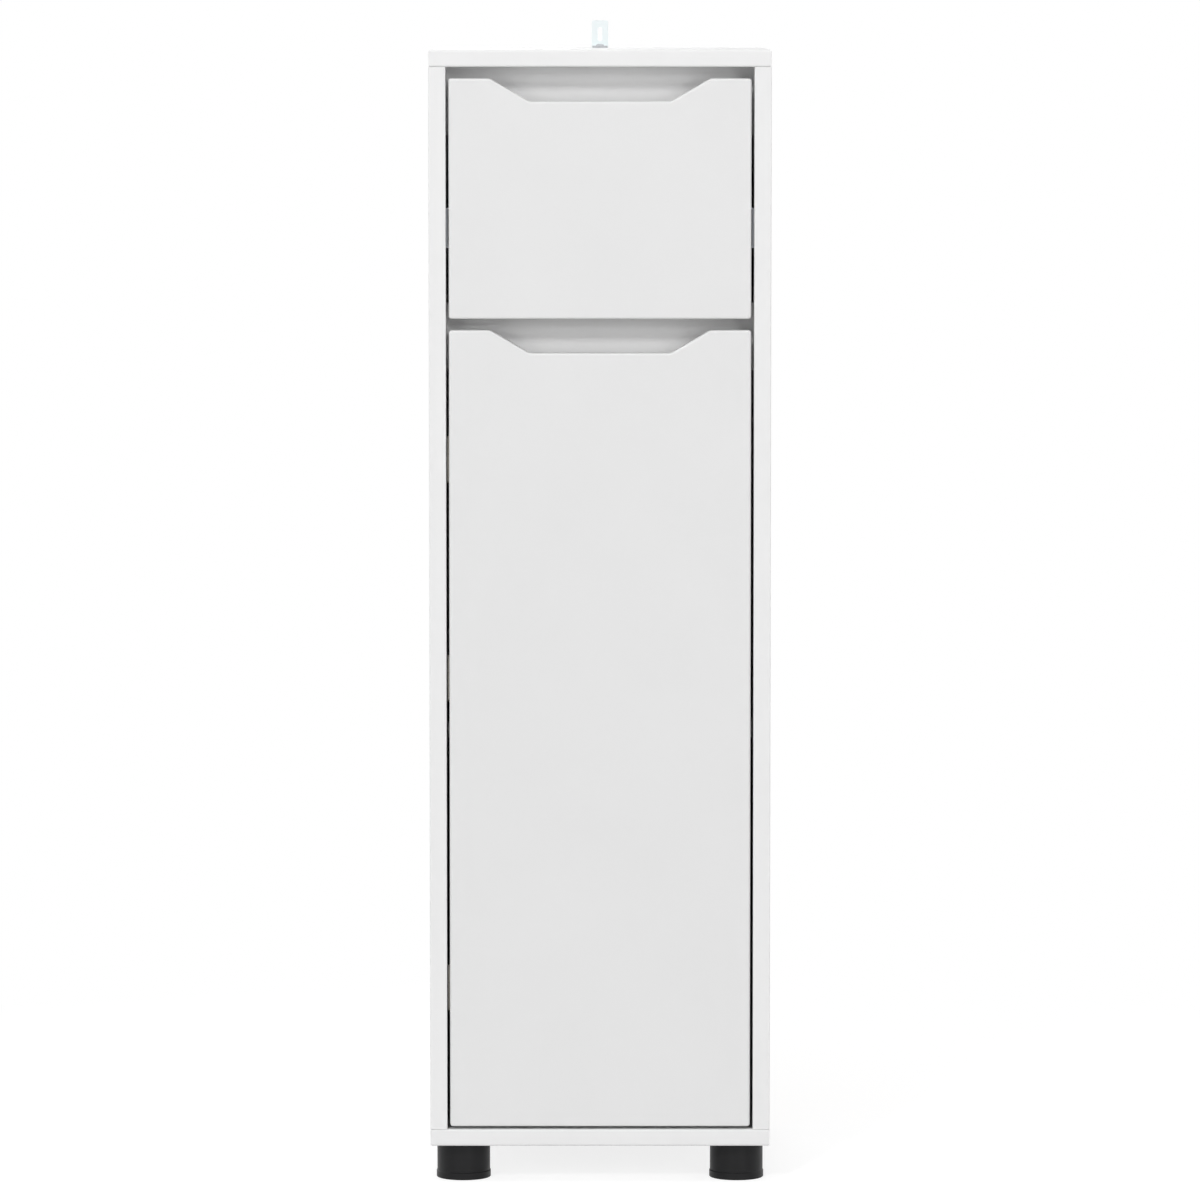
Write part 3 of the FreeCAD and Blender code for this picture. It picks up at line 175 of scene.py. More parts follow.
@dataclass(frozen=True)
class Finish:
    """A surface finish with two close shades, a cloudy variation and a fine grain."""

    name: str
    slot: str
    light: str
    dark: str
    cloud_mm: float
    grain_mm: float
    grain_depth_mm: float
    # Lowest and highest roughness, in clouds of their own.
    roughness: tuple[float, float]
    metallic: float = 0.0
    specular: float = 0.5
    # How much finer the patterns are along each axis.
    stretch: tuple[float, float, float] = (1.0, 1.0, 1.0)
    cloud_octaves: float = 2.0
    grain_octaves: float = 3.0
    # Clouds of roughness as a share of the size of the clouds of colour.
    gloss_cloud_share: float = 0.5

    def colour(self, ground: Ground) -> Socket:
        """Colour over the surface: two shades in soft clouds.

        Args:
            ground: node tree and coordinates of the material.

        Returns:
            Colour output.
        """
        cloud = add(ground.tree, "ShaderNodeTexNoise", {
            "Vector": ground.mapped, "Scale": per_mm(self.cloud_mm), "Detail": self.cloud_octaves})
        return add(ground.tree, "ShaderNodeMix", {
            Mix.SHARE: cloud.outputs[0], Mix.LOW: linear(self.dark), Mix.HIGH: linear(self.light)},
            data_type="RGBA").outputs[Mix.RESULT]

    def relief(self, ground: Ground) -> Socket:
        """Height of the fine grain, from 0 to 1."""
        return add(ground.tree, "ShaderNodeTexNoise", {
            "Vector": ground.mapped, "Scale": per_mm(self.grain_mm), "Detail": self.grain_octaves}).outputs[0]

    def material(self) -> bpy.types.Material:
        """Build the material.

        Returns:
            Material whose colour, roughness and relief come from its nodes.
        """
        made = bpy.data.materials.new(self.name)
        made.use_nodes = True
        tree = made.node_tree
        tree.nodes.clear()
        where = add(tree, "ShaderNodeTexCoord").outputs
        mapped = add(tree, "ShaderNodeMapping", {"Vector": where["Object"], "Scale": self.stretch}).outputs[0]
        ground = Ground(tree, where, mapped)
        gloss = add(tree, "ShaderNodeTexNoise", {
            "Vector": mapped, "Scale": per_mm(self.cloud_mm * self.gloss_cloud_share),
            "Detail": self.cloud_octaves}).outputs[0]
        low, high = self.roughness
        rough = add(tree, "ShaderNodeMapRange", {"Value": gloss, "To Min": low, "To Max": high}).outputs[0]
        bump = add(tree, "ShaderNodeBump", {
            "Strength": 1.0, "Distance": self.grain_depth_mm * MM, "Height": self.relief(ground)}).outputs[0]
        shader = add(tree, "ShaderNodeBsdfPrincipled", {
            "Base Color": self.colour(ground), "Roughness": rough, "Metallic": self.metallic,
            "Specular IOR Level": self.specular, "Normal": bump})
        add(tree, "ShaderNodeOutputMaterial", {"Surface": shader.outputs[0]})
        return made


@dataclass(frozen=True)
class BoardFinish(Finish):
    """Melamine-faced chipboard: white outside, with flakes of wood where a bore or groove opens the core."""

    core_light: str = "#D9BF97"
    core_dark: str = "#A8845A"
    flake_mm: float = 2.4
    # White skin on each side as a share of the board's box.
    skin_share: float = 0.075
    joint: str = "#C9C8C3"
    joint_mm: float = 0.5
    # From the front edge back to the joint.
    band_mm: float = 2.0

    def band_joint(self, ground: Ground) -> Socket:
        """Find the hairline behind the edge band of the front edges.

        Args:
            ground: node tree and coordinates of the material.

        Returns:
            1 on the hairline, 0 elsewhere.
        """
        middle = CAD_BOX[0][Axis.Y] + self.band_mm * MM
        along = add(ground.tree, "ShaderNodeSeparateXYZ", {0: ground.where["Object"]}).outputs[Axis.Y]
        return add(ground.tree, "ShaderNodeMath", {0: along, 1: middle, 2: self.joint_mm * MM / 2},
                   operation="COMPARE").outputs[0]

    def core(self, ground: Ground) -> Socket:
        """Tell the core from the skin of the board.

        Args:
            ground: node tree and coordinates of the material.

        Returns:
            1 well inside the board's box, 0 near its faces.
        """
        inside: Any = 1.0
        for part in add(ground.tree, "ShaderNodeSeparateXYZ", {0: ground.where["Generated"]}).outputs:
            offset = add(ground.tree, "ShaderNodeMath", {0: part, 1: MIDDLE}, operation="SUBTRACT").outputs[0]
            reach = add(ground.tree, "ShaderNodeMath", {0: offset}, operation="ABSOLUTE").outputs[0]
            deep = add(ground.tree, "ShaderNodeMath", {0: reach, 1: MIDDLE - self.skin_share},
                       operation="LESS_THAN").outputs[0]
            inside = add(ground.tree, "ShaderNodeMath", {0: deep, 1: inside}, operation="MULTIPLY").outputs[0]
        return inside

    def colour(self, ground: Ground) -> Socket:
        """White face with its edge band joint, and chipboard in the core.

        Args:
            ground: node tree and coordinates of the material.

        Returns:
            Colour output.
        """
        face = add(ground.tree, "ShaderNodeMix", {
            Mix.SHARE: self.band_joint(ground), Mix.LOW: super().colour(ground),
            Mix.HIGH: linear(self.joint)}, data_type="RGBA").outputs[Mix.RESULT]
        flakes = add(ground.tree, "ShaderNodeTexVoronoi", {
            "Vector": ground.mapped, "Scale": per_mm(self.flake_mm)}).outputs["Distance"]
        chips = add(ground.tree, "ShaderNodeMix", {
            Mix.SHARE: flakes, Mix.LOW: linear(self.core_light), Mix.HIGH: linear(self.core_dark)},
            data_type="RGBA").outputs[Mix.RESULT]
        return add(ground.tree, "ShaderNodeMix", {
            Mix.SHARE: self.core(ground), Mix.LOW: face, Mix.HIGH: chips},
            data_type="RGBA").outputs[Mix.RESULT]


@dataclass(frozen=True)
class HardboardFinish(Finish):
    """Thin fibreboard: lacquered white on one face, bare brown fibres with the dents of a wire screen on the
    other, the dents darkened with painted shade.
    """

    # Axis through the board, and the way along it that the bare side looks.
    across: Axis = Axis.Y
    bare_sign: float = 1.0
    # A surface counts as the white face where its normal reaches this far along that axis.
    face_on: float = 0.5
    fibre_light: str = "#9F7C55"
    fibre_dark: str = "#6B4D30"
    smudge: str = "#86663F"
    # Darker brown laid in the screen's dents: painted shade of their hollows.
    painted_dent_shade: str = "#72553A"
    fibre_mm: float = 3.0
    fibre_octaves: float = 6.0
    smudge_mm: float = 140.0
    smudge_octaves: float = 4.0
    screen_mm: float = 2.4
    screen_unevenness: float = 0.8

    def lacquered(self, ground: Ground) -> Socket:
        """Tell the white face from the rest.

        Args:
            ground: node tree and coordinates of the material.

        Returns:
            1 on the white face, 0 on the bare face and the edges.
        """
        normal = add(ground.tree, "ShaderNodeSeparateXYZ", {0: ground.where["Normal"]}).outputs[self.across]
        facing = add(ground.tree, "ShaderNodeMath", {0: normal, 1: -self.bare_sign}, operation="MULTIPLY")
        return add(ground.tree, "ShaderNodeMath", {0: facing.outputs[0], 1: self.face_on},
                   operation="GREATER_THAN").outputs[0]

    def screen(self, ground: Ground) -> Socket:
        """Dents of the wire screen that the wet board was pressed on.

        Args:
            ground: node tree and coordinates of the material.

        Returns:
            Output from 0 to 1, high where the board is dented, once in each square of the screen.
        """
        scale = math.tau / WAVE_TURN / (self.screen_mm * MM)
        dents: Any = 1.0
        for axis in Axis:
            if axis is not self.across:
                wave = add(ground.tree, "ShaderNodeTexWave", {
                    "Vector": ground.mapped, "Scale": scale, "Distortion": self.screen_unevenness},
                    bands_direction=axis.name)
                dents = add(ground.tree, "ShaderNodeMath", {0: wave.outputs["Fac"], 1: dents},
                            operation="MULTIPLY").outputs[0]
        return dents

    def colour(self, ground: Ground) -> Socket:
        """White on the lacquered face; smudged brown fibres, with painted shade in the screen's dents, on the
        bare face and the edges.

        Args:
            ground: node tree and coordinates of the material.

        Returns:
            Colour output.
        """
        fibres = add(ground.tree, "ShaderNodeTexNoise", {
            "Vector": ground.mapped, "Scale": per_mm(self.fibre_mm), "Detail": self.fibre_octaves})
        smudges = add(ground.tree, "ShaderNodeTexNoise", {
            "Vector": ground.mapped, "Scale": per_mm(self.smudge_mm), "Detail": self.smudge_octaves})
        # The screen's dents take the darker brown: painted shade in the hollows.
        layers = ((fibres.outputs[0], linear(self.fibre_light)), (smudges.outputs[0], linear(self.smudge)),
                  (self.screen(ground), linear(self.painted_dent_shade)), (self.lacquered(ground), super().colour(ground)))
        shade: Any = linear(self.fibre_dark)
        for share, laid in layers:
            shade = add(ground.tree, "ShaderNodeMix", {Mix.SHARE: share, Mix.LOW: shade, Mix.HIGH: laid},
                        data_type="RGBA").outputs[Mix.RESULT]
        return shade

    def relief(self, ground: Ground) -> Socket:
        """Fine grain on the white face, grain and screen dents on the bare one.

        Args:
            ground: node tree and coordinates of the material.

        Returns:
            Height output.
        """
        bare = add(ground.tree, "ShaderNodeMath", {0: 1.0, 1: self.lacquered(ground)}, operation="SUBTRACT")
        dents = add(ground.tree, "ShaderNodeMath", {0: self.screen(ground), 1: bare.outputs[0]},
                    operation="MULTIPLY")
        return add(ground.tree, "ShaderNodeMath", {0: super().relief(ground), 1: dents.outputs[0]},
                   operation="SUBTRACT").outputs[0]


@dataclass(frozen=True)
class SheetFinish(Finish):
    """Coated sheet steel with a grey of painted shade laid on its front end."""

    # Grey laid on the front end of the sheet: painted shade.
    bare: str = "#B9BBBE"
    # Length of the painted shade as a share of the sheet's depth.
    end_share: float = 0.02

    def colour(self, ground: Ground) -> Socket:
        """Coat all over, and a grey of painted shade at the front end.

        Args:
            ground: node tree and coordinates of the material.

        Returns:
            Colour output.
        """
        along = add(ground.tree, "ShaderNodeSeparateXYZ", {0: ground.where["Generated"]}).outputs[Axis.Y]
        # The front end of the sheet takes the grey: painted shade.
        end = add(ground.tree, "ShaderNodeMath", {0: along, 1: self.end_share}, operation="LESS_THAN")
        return add(ground.tree, "ShaderNodeMix", {
            Mix.SHARE: end.outputs[0], Mix.LOW: super().colour(ground), Mix.HIGH: linear(self.bare)},
            data_type="RGBA").outputs[Mix.RESULT]


# Melamine paper pressed on chipboard against a fine pearl plate: matt white, with a soft pebbly gleam.
# The real pearl is about 0.6 mm, drawn at 2 mm, and the edge band joint 0.1 mm, drawn at 0.5 mm, to show.
MELAMINE = BoardFinish("white_melamine_chipboard", "carcass_board", "#ECECEC", "#E8E8E8", cloud_mm=90,
                       grain_mm=2.0, grain_depth_mm=0.012, roughness=(0.42, 0.5))
# The drawer box is wrapped in a thinner white foil, a little warmer and flatter.
DRAWER_BOARD = BoardFinish("white_wrapped_chipboard", "drawer_board", "#ECECEA", "#E7E7E4", cloud_mm=80,
                           grain_mm=2.2, grain_depth_mm=0.01, roughness=(0.48, 0.56))
# Satin foil drawn over fibreboard: a slightly greyer white than the carcass, smooth, with soft edges.
FOIL = Finish("satin_foil_on_fibreboard", "front_board", "#E5E5E5", "#E2E2E2", cloud_mm=120,
              grain_mm=2.6, grain_depth_mm=0.01, roughness=(0.36, 0.44))
# Wet-process fibreboard: white lacquer inside, brown outside with wire screen dents that carry painted shade.
# The real screen pattern is about 1.5 mm, drawn at 2.4 mm so that it shows.
BACK_BOARD = HardboardFinish("lacquered_hardboard_upright", "hardboard", "#EEEEEC", "#E9E9E7", cloud_mm=70,
                             grain_mm=1.8, grain_depth_mm=0.05, roughness=(0.5, 0.62))
# The same board lying flat, with its bare face down.
FLOOR_BOARD = replace(BACK_BOARD, name="lacquered_hardboard_flat", across=Axis.Z, bare_sign=-1.0)
# Cold-rolled strip with bright zinc plating: cool grey metal with fine lines along the rolling direction.
ZINC = Finish("zinc_plated_steel", "runner_steel", "#CFD2D6", "#AEB2B8", cloud_mm=14, grain_mm=0.5,
              grain_depth_mm=0.004, roughness=(0.24, 0.38), metallic=1.0, stretch=(1.0, 0.06, 1.0))
# Stamped steel with nickel plating: warm, bright and smooth, slightly hazed.
NICKEL = Finish("nickel_plated_steel", "hinge_steel", "#D6D1C8", "#BDB7AC", cloud_mm=10, grain_mm=0.7,
                grain_depth_mm=0.004, roughness=(0.16, 0.28), metallic=1.0)
# Die-cast zinc straight from the mould: dull grey with a cast grain.
CAST_ZINC = Finish("die_cast_zinc", "cam_zinc", "#B9BBBD", "#97999B", cloud_mm=5, grain_mm=0.6,
                   grain_depth_mm=0.02, roughness=(0.4, 0.55), metallic=1.0)
# Zinc-plated screw wire: bright heads with faint tumbling marks.
SCREW_ZINC = Finish("zinc_plated_screw_steel", "screw_steel", "#CBCDD0", "#A5A8AC", cloud_mm=4, grain_mm=0.5,
                    grain_depth_mm=0.006, roughness=(0.22, 0.4), metallic=1.0)
# Sheet steel with white powder coat: cool white with a faint orange-peel skin, and a grey of painted shade on
# its front end.
POWDER_COAT = SheetFinish("white_powder_coat", "bracket_steel", "#EEF5F6", "#E8EFF0", cloud_mm=20,
                          grain_mm=1.6, grain_depth_mm=0.03, roughness=(0.32, 0.42))
# Polypropylene from an etched mould: black, with a fine even grain that breaks up the gleam.
BLACK_PLASTIC = Finish("black_moulded_polypropylene", "foot_plastic", "#18181A", "#131314", cloud_mm=18,
                       grain_mm=1.1, grain_depth_mm=0.03, roughness=(0.36, 0.48), specular=0.2)
# Turned beech: pale, with soft darker flecks.
BEECH = Finish("turned_beech", "dowel_wood", "#DDB98A", "#C69C69", cloud_mm=6, grain_mm=0.8,
               grain_depth_mm=0.05, roughness=(0.55, 0.7))


@cache
def paint(finish: Finish) -> bpy.types.Material:
    """One material for each finish."""
    return finish.material()


def dress(names: Iterable[str], finish: Finish) -> None:
    """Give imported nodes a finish.

    Args:
        names: nodes to dress.
        finish: what they are made of.
    """
    for name in names:
        item = frame["nodes"][name]
        item.data.materials.clear()
        item.data.materials.append(paint(finish))
        log.info("%s: %s", name, finish.name)


@dataclass(frozen=True)
class Seat:
    """Place of one turned piece: the middle of its outer end, the way it points and its sizes in metres."""

    end: Vector
    way: Vector
    radius: float
    tail_radius: float
    length: float

    def matrix(self) -> Matrix:
        """Frame with its origin at the outer end and its z axis pointing out of the material."""
        turn = (-self.way).to_track_quat("Z", "Y").to_matrix().to_4x4()
        return Matrix.Translation(self.end) @ turn


class Solids:
    """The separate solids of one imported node."""

    # Points that round to the same step of this size, in metres, are one point.
    weld: float = 1e-6
    # The widest part of a solid reaches at least this share of its greatest radius.
    rim_share: float = 0.98
    # The tail of a solid starts at this share of its half length from its middle.
    tail_share: float = 0.6

    def __init__(self, name: str) -> None:
        """Split a node into the points of its solids.

        Args:
            name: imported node.
        """
        mesh = frame["nodes"][name].data
        spots = np.array([tuple(v.co) for v in mesh.vertices])
        _, index = np.unique(np.round(spots / self.weld), axis=0, return_inverse=True)
        index = index.ravel()
        self.parent = list(range(int(index.max()) + 1))
        for face in mesh.polygons:
            first, *rest = (int(index[v]) for v in face.vertices)
            for other in rest:
                self.parent[self.root(other)] = self.root(first)
        groups = np.array([self.root(int(i)) for i in index])
        self.solids = [spots[groups == group] for group in np.unique(groups)]

    def root(self, item: int) -> int:
        """Find the group that a point is in.

        Args:
            item: number of a welded point.

        Returns:
            Number of the point that stands for its group.
        """
        while self.parent[item] != item:
            self.parent[item] = self.parent[self.parent[item]]
            item = self.parent[item]
        return item

    def seats(self, flat: bool = False, towards: Vector | None = None) -> list[Seat]:
        """Find where each solid sits.

        Args:
            flat: the pieces are discs, whose axis is their shortest way.
            towards: point that the outer ends look at, instead of the wider end.

        Returns:
            One seat for each solid.
        """
        found = []
        for points in self.solids:
            low, high = points.min(0), points.max(0)
            middle = (low + high) / 2
            axis = int(np.argmin(high - low) if flat else np.argmax(high - low))
            radial = points - middle
            along = radial[:, axis].copy()
            radial[:, axis] = 0
            radius = np.linalg.norm(radial, axis=1)
            if towards is None:
                sign = math.copysign(1.0, along[radius > self.rim_share * radius.max()].mean())
            else:
                sign = math.copysign(1.0, towards[axis] - middle[axis])
            half = (high - low)[axis] / 2
            tail = radius[along * sign < -self.tail_share * half]
            way = Vector((0, 0, 0))
            way[axis] = -sign
            end = Vector(middle) - way * half
            found.append(Seat(end, way, float(radius.max()), float(tail.max()), 2 * half))
        return found


def skin(rings: list[Points], mesh_points: Points, faces: Faces, place: Matrix) -> None:
    """Join closed rings of points, in order, into a closed skin with a fan at each end.

    Args:
        rings: rings with the same number of points each, from the outer end to the inner one.
        mesh_points: points of the mesh so far, which grow.
        faces: faces of the mesh so far, which grow.
        place: frame that the rings are given in.
    """
    first = len(mesh_points)
    count = len(rings[0])
    for ring in rings:
        mesh_points.extend(tuple(place @ Vector(point)) for point in ring)
    for row in range(len(rings) - 1):
        for i in range(count):
            a, b = first + row * count + i, first + row * count + (i + 1) % count
            faces.append((a, a + count, b + count, b))
    for row, turn in ((0, 1), (len(rings) - 1, -1)):
        centre = np.mean(rings[row], axis=0)
        mesh_points.append(tuple(place @ Vector(centre)))
        loop = [first + row * count + i for i in range(count)]
        for i in range(count):
            face = (len(mesh_points) - 1, loop[i], loop[(i + 1) % count])
            faces.append(face[::turn])


@dataclass
class TurnedPieces:
    """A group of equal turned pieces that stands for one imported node."""

    node: str
    name: str
    finish: Finish
    segments: int = 32
    flat: bool = False
    towards: Vector | None = None
    # Edges that turn by more than this stay sharp.
    crease_degrees: float = 38.0
    # Rings in one turn of a thread, and how steep its flanks are.
    thread_rows: int = 4
    thread_flank: float = 3.0
    # Rings across a recessed face, recess wall as a share of an arm's width, and how the recess floor rises.
    face_rows: int = 9
    recess_wall_share: float = 0.2
    recess_taper: float = 0.6

    def rings(self, seat: Seat) -> list[Points]:
        """Rings of one piece, from its outer end inwards."""
        raise NotImplementedError

    def circle(self, radius: float, height: float) -> Points:
        """Level ring of points."""
        turns = (math.tau * i / self.segments for i in range(self.segments))
        return [(radius * math.cos(a), radius * math.sin(a), height) for a in turns]

    def thread(self, root: float, crest: float, top: float, bottom: float, pitch: float) -> list[Points]:
        """Screw thread as rings whose radius follows a helix and runs out over one turn at each end.

        Args:
            root: radius between the threads.
            crest: radius at the threads.
            top: height where the thread starts.
            bottom: height where it ends.
            pitch: rise of one turn.

        Returns:
            Rings from the top down.
        """
        steps = max(self.thread_rows, round(self.thread_rows * (top - bottom) / pitch))
        rows = []
        for step in range(steps + 1):
            height = top + (bottom - top) * step / steps
            fade = min(1.0, step / self.thread_rows, (steps - step) / self.thread_rows)
            ring = []
            for i in range(self.segments):
                angle = math.tau * i / self.segments
                phase = (height / pitch + i / self.segments) % 1.0
                lift = max(0.0, 1 - abs(phase - MIDDLE) * self.thread_flank)
                radius = root + (crest - root) * lift * fade
                ring.append((radius * math.cos(angle), radius * math.sin(angle), height))
            rows.append(ring)
        return rows

    def crossed(self, radius: float, rise: float, reach: float, width: float, depth: float) -> list[Points]:
        """Domed round face with a cross-shaped driver recess.

        Args:
            radius: edge of the face.
            rise: dome height over the edge.
            reach: length of a recess arm.
            width: width of a recess arm.
            depth: depth of the recess at its middle.

        Returns:
            Rings from the middle out.
        """
        made = []
        for row in range(1, self.face_rows + 1):
            span = radius * row / self.face_rows
            ring = []
            for x, y, _ in self.circle(span, 0.0):
                sunk = 0.0
                for along, across in ((abs(x), abs(y)), (abs(y), abs(x))):
                    inside = (width / 2 - across) / (self.recess_wall_share * width)
                    wall = min(1.0, max(0.0, inside + MIDDLE))
                    slope = max(0.0, 1 - along / reach) ** self.recess_taper
                    sunk = max(sunk, wall * slope)
                ring.append((x, y, -rise * (span / radius) ** 2 - depth * sunk))
            made.append(ring)
        return made

    def build(self) -> bpy.types.Object:
        """Make the group and let it ride in place of its node.

        Returns:
            The new object.
        """
        points: Points = []
        faces: Faces = []
        for seat in Solids(self.node).seats(self.flat, self.towards):
            skin(self.rings(seat), points, faces, seat.matrix())
        mesh = bpy.data.meshes.new(self.name)
        mesh.from_pydata(points, [], faces)
        mesh.validate()
        mesh.shade_smooth()
        mesh.set_sharp_from_angle(angle=math.radians(self.crease_degrees))
        mesh.materials.append(paint(self.finish))
        item = bpy.data.objects.new(self.name, mesh)
        bpy.context.scene.collection.objects.link(item)
        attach(item, frame["nodes"][self.node]["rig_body"])
        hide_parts(self.node)
        log.info("%s: %d faces for %s", self.name, len(faces), self.node)
        return item


@dataclass
class PanScrews(TurnedPieces):
    """Pan-head chipboard screws with a cross recess and a coarse thread."""

    head_height: float = 1.8 * MM
    pitch: float = 1.6 * MM
    tip: float = 3.0 * MM
    # Dome and recess as shares of the head's height, and the drop of its shoulder as a share of the dome.
    dome_share: float = 0.45
    recess_depth_share: float = 0.8
    shoulder_share: float = 1.35
    # Domed face and recess arms as shares of the head's radius.
    face_share: float = 0.9
    arm_reach_share: float = 0.62
    arm_width_share: float = 0.26
    # Thread root as a share of the shank's radius, and the point as a share of the root's.
    root_share: float = 0.7
    point_share: float = 0.08

    def rings(self, seat: Seat) -> list[Points]:
        """Domed head, neck, thread and point of one screw.

        Args:
            seat: where the screw sits.

        Returns:
            Rings from the head to the point.
        """
        radius = seat.radius
        shank = seat.tail_radius
        rise = self.dome_share * self.head_height
        root = self.root_share * shank
        neck = -self.head_height
        head = self.crossed(self.face_share * radius, rise, self.arm_reach_share * radius,
                            self.arm_width_share * radius, self.recess_depth_share * self.head_height)
        side = [self.circle(radius, -self.shoulder_share * rise), self.circle(radius, neck),
                self.circle(shank, neck)]
        thread = self.thread(root, shank, neck - self.pitch / 2, self.tip - seat.length, self.pitch)
        point = [self.circle(self.point_share * root, -seat.length)]
        return head + side + thread + point


@dataclass
class CamLocks(TurnedPieces):
    """Die-cast cam locks with a cross recess in a dished face and a rim."""

    flat: bool = True
    segments: int = 48
    face_rows: int = 12
    rim: float = 0.8 * MM
    dish: float = 0.5 * MM
    chamfer: float = 0.3 * MM
    recess_depth: float = 3.2 * MM
    # Recess arms as shares of the lock's radius.
    arm_reach_share: float = 0.55
    arm_width_share: float = 0.2

    def rings(self, seat: Seat) -> list[Points]:
        """Dished face, rim and drum of one lock.

        Args:
            seat: where the lock sits.

        Returns:
            Rings from the face to the inner end.
        """
        radius = seat.radius
        inner = radius - self.rim
        thin = radius - self.chamfer
        face = self.crossed(inner, 0.0, self.arm_reach_share * radius, self.arm_width_share * radius,
                            self.recess_depth)
        face = [[(x, y, z - self.dish) for x, y, z in ring] for ring in face]
        rim = [self.circle(inner, 0.0), self.circle(thin, 0.0), self.circle(radius, -self.chamfer)]
        drum = [self.circle(radius, self.chamfer - seat.length), self.circle(thin, -seat.length)]
        return face + rim + drum


@dataclass
class CamBolts(TurnedPieces):
    """Cam bolts: a coarse thread, a collar, a smooth shank and a turned head on a neck."""

    segments: int = 24
    pitch: float = 2.2 * MM
    thread_length: float = 11 * MM
    chamfer: float = 0.5 * MM
    # Places on the neck and the head, measured back from the far end.
    neck_start: float = 4.2 * MM
    neck_end: float = 2.2 * MM
    head_start: float = 1.6 * MM
    # Tip and thread root as shares of the thread's radius, neck and cap as shares of the shank's.
    tip_share: float = 0.6
    root_share: float = 0.74
    neck_share: float = 0.6
    cap_share: float = 0.75

    def rings(self, seat: Seat) -> list[Points]:
        """Thread, shank, neck and head of one bolt.

        Args:
            seat: where the bolt sits.

        Returns:
            Rings from the threaded end to the head.
        """
        shank = seat.tail_radius
        neck = self.neck_share * shank
        end = seat.length
        start = [self.circle(self.tip_share * seat.radius, 0.0)]
        thread = self.thread(self.root_share * seat.radius, seat.radius, -self.chamfer, -self.thread_length,
                             self.pitch)
        plan = ((shank, self.thread_length), (shank, end - self.neck_start),
                (neck, end - self.neck_start + self.chamfer), (neck, end - self.neck_end),
                (shank, end - self.head_start), (shank, end - self.chamfer), (self.cap_share * shank, end))
        return start + thread + [self.circle(radius, -depth) for radius, depth in plan]


@dataclass
class BackNails(TurnedPieces):
    """Round wire nails with a thin flat head, grip rings and a cut point."""

    segments: int = 20
    head_height: float = 0.8 * MM
    # Crown and edge as shares of the head's radius, and how far the edge and the rim lie below the crown.
    crown_share: float = 0.3
    edge_share: float = 0.85
    edge_drop: float = 0.05 * MM
    rim_drop: float = 0.25 * MM
    # Grip rings: their number, the first one's distance from the head, their waist as a share of the shank.
    grips: int = 4
    first_grip: float = 1.2 * MM
    grip_spacing: float = 0.7 * MM
    grip_width: float = 0.3 * MM
    grip_share: float = 0.9
    # Point, whose end is a share of the shank's radius.
    point_length: float = 2.5 * MM
    point_share: float = 0.1

    def rings(self, seat: Seat) -> list[Points]:
        """Head, gripped shank and point of one nail.

        Args:
            seat: where the nail sits.

        Returns:
            Rings from the head to the point.
        """
        head = seat.radius
        shank = seat.tail_radius
        rows = [(self.crown_share * head, 0.0), (self.edge_share * head, self.edge_drop),
                (head, self.rim_drop), (head, self.head_height), (shank, self.head_height)]
        for grip in range(self.grips):
            depth = self.head_height + self.first_grip + self.grip_spacing * grip
            rows += [(shank, depth), (self.grip_share * shank, depth + self.grip_width / 2),
                     (shank, depth + self.grip_width)]
        rows += [(shank, seat.length - self.point_length), (self.point_share * shank, seat.length)]
        return [self.circle(radius, -depth) for radius, depth in rows]


@dataclass
class Dowels(TurnedPieces):
    """Fluted beech dowels with chamfered ends."""

    segments: int = 48
    flutes: int = 16
    flute_depth: float = 0.25 * MM
    chamfer: float = 1.0 * MM
    end_drop: float = 0.8 * MM

    def fluted(self, radius: float, height: float) -> Points:
        """Ring whose radius dips at each flute.

        Args:
            radius: radius between the flutes.
            height: height of the ring.

        Returns:
            Points of the ring.
        """
        ring = []
        for i in range(self.segments):
            angle = math.tau * i / self.segments
            dip = self.flute_depth * max(0.0, math.cos(self.flutes * angle))
            ring.append(((radius - dip) * math.cos(angle), (radius - dip) * math.sin(angle), height))
        return ring

    def rings(self, seat: Seat) -> list[Points]:
        """Chamfer, fluted barrel and chamfer of one dowel.

        Args:
            seat: where the dowel sits.

        Returns:
            Rings from one end to the other.
        """
        thin = seat.radius - self.end_drop
        return [self.circle(thin, 0.0), self.fluted(seat.radius, -self.chamfer),
                self.fluted(seat.radius, self.chamfer - seat.length), self.circle(thin, -seat.length)]


@dataclass
class Carcass:
    """Boards, back, feet, wall bracket and the fixings that hold them together."""

    boards: tuple[str, ...] = ("top_panel", "bottom_panel", "left_side_panel", "right_side_panel",
                               "upper_front_rail", "middle_front_rail", "shelf")
    feet: tuple[str, ...] = ("front_left_foot", "front_right_foot", "rear_left_foot", "rear_right_foot")

    def build(self) -> None:
        """Dress the boards and make the fixings."""
        low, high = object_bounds()
        middle = (low + high) / 2
        dress(self.boards, MELAMINE)
        dress(("back_panel",), BACK_BOARD)
        dress(self.feet, BLACK_PLASTIC)
        dress(("wall_bracket",), POWDER_COAT)
        dress(("shelf_pins",), NICKEL)
        CamLocks("cam_locks", "carcass_cam_locks", CAST_ZINC, towards=middle).build()
        CamBolts("cam_bolts", "carcass_cam_bolts", SCREW_ZINC).build()
        Dowels("wooden_dowels", "fluted_dowels", BEECH).build()
        BackNails("back_nails", "back_board_nails", SCREW_ZINC).build()
        PanScrews("foot_screws", "foot_crosshead_screws", SCREW_ZINC).build()
        PanScrews("wall_bracket_screw", "bracket_crosshead_screw", SCREW_ZINC).build()


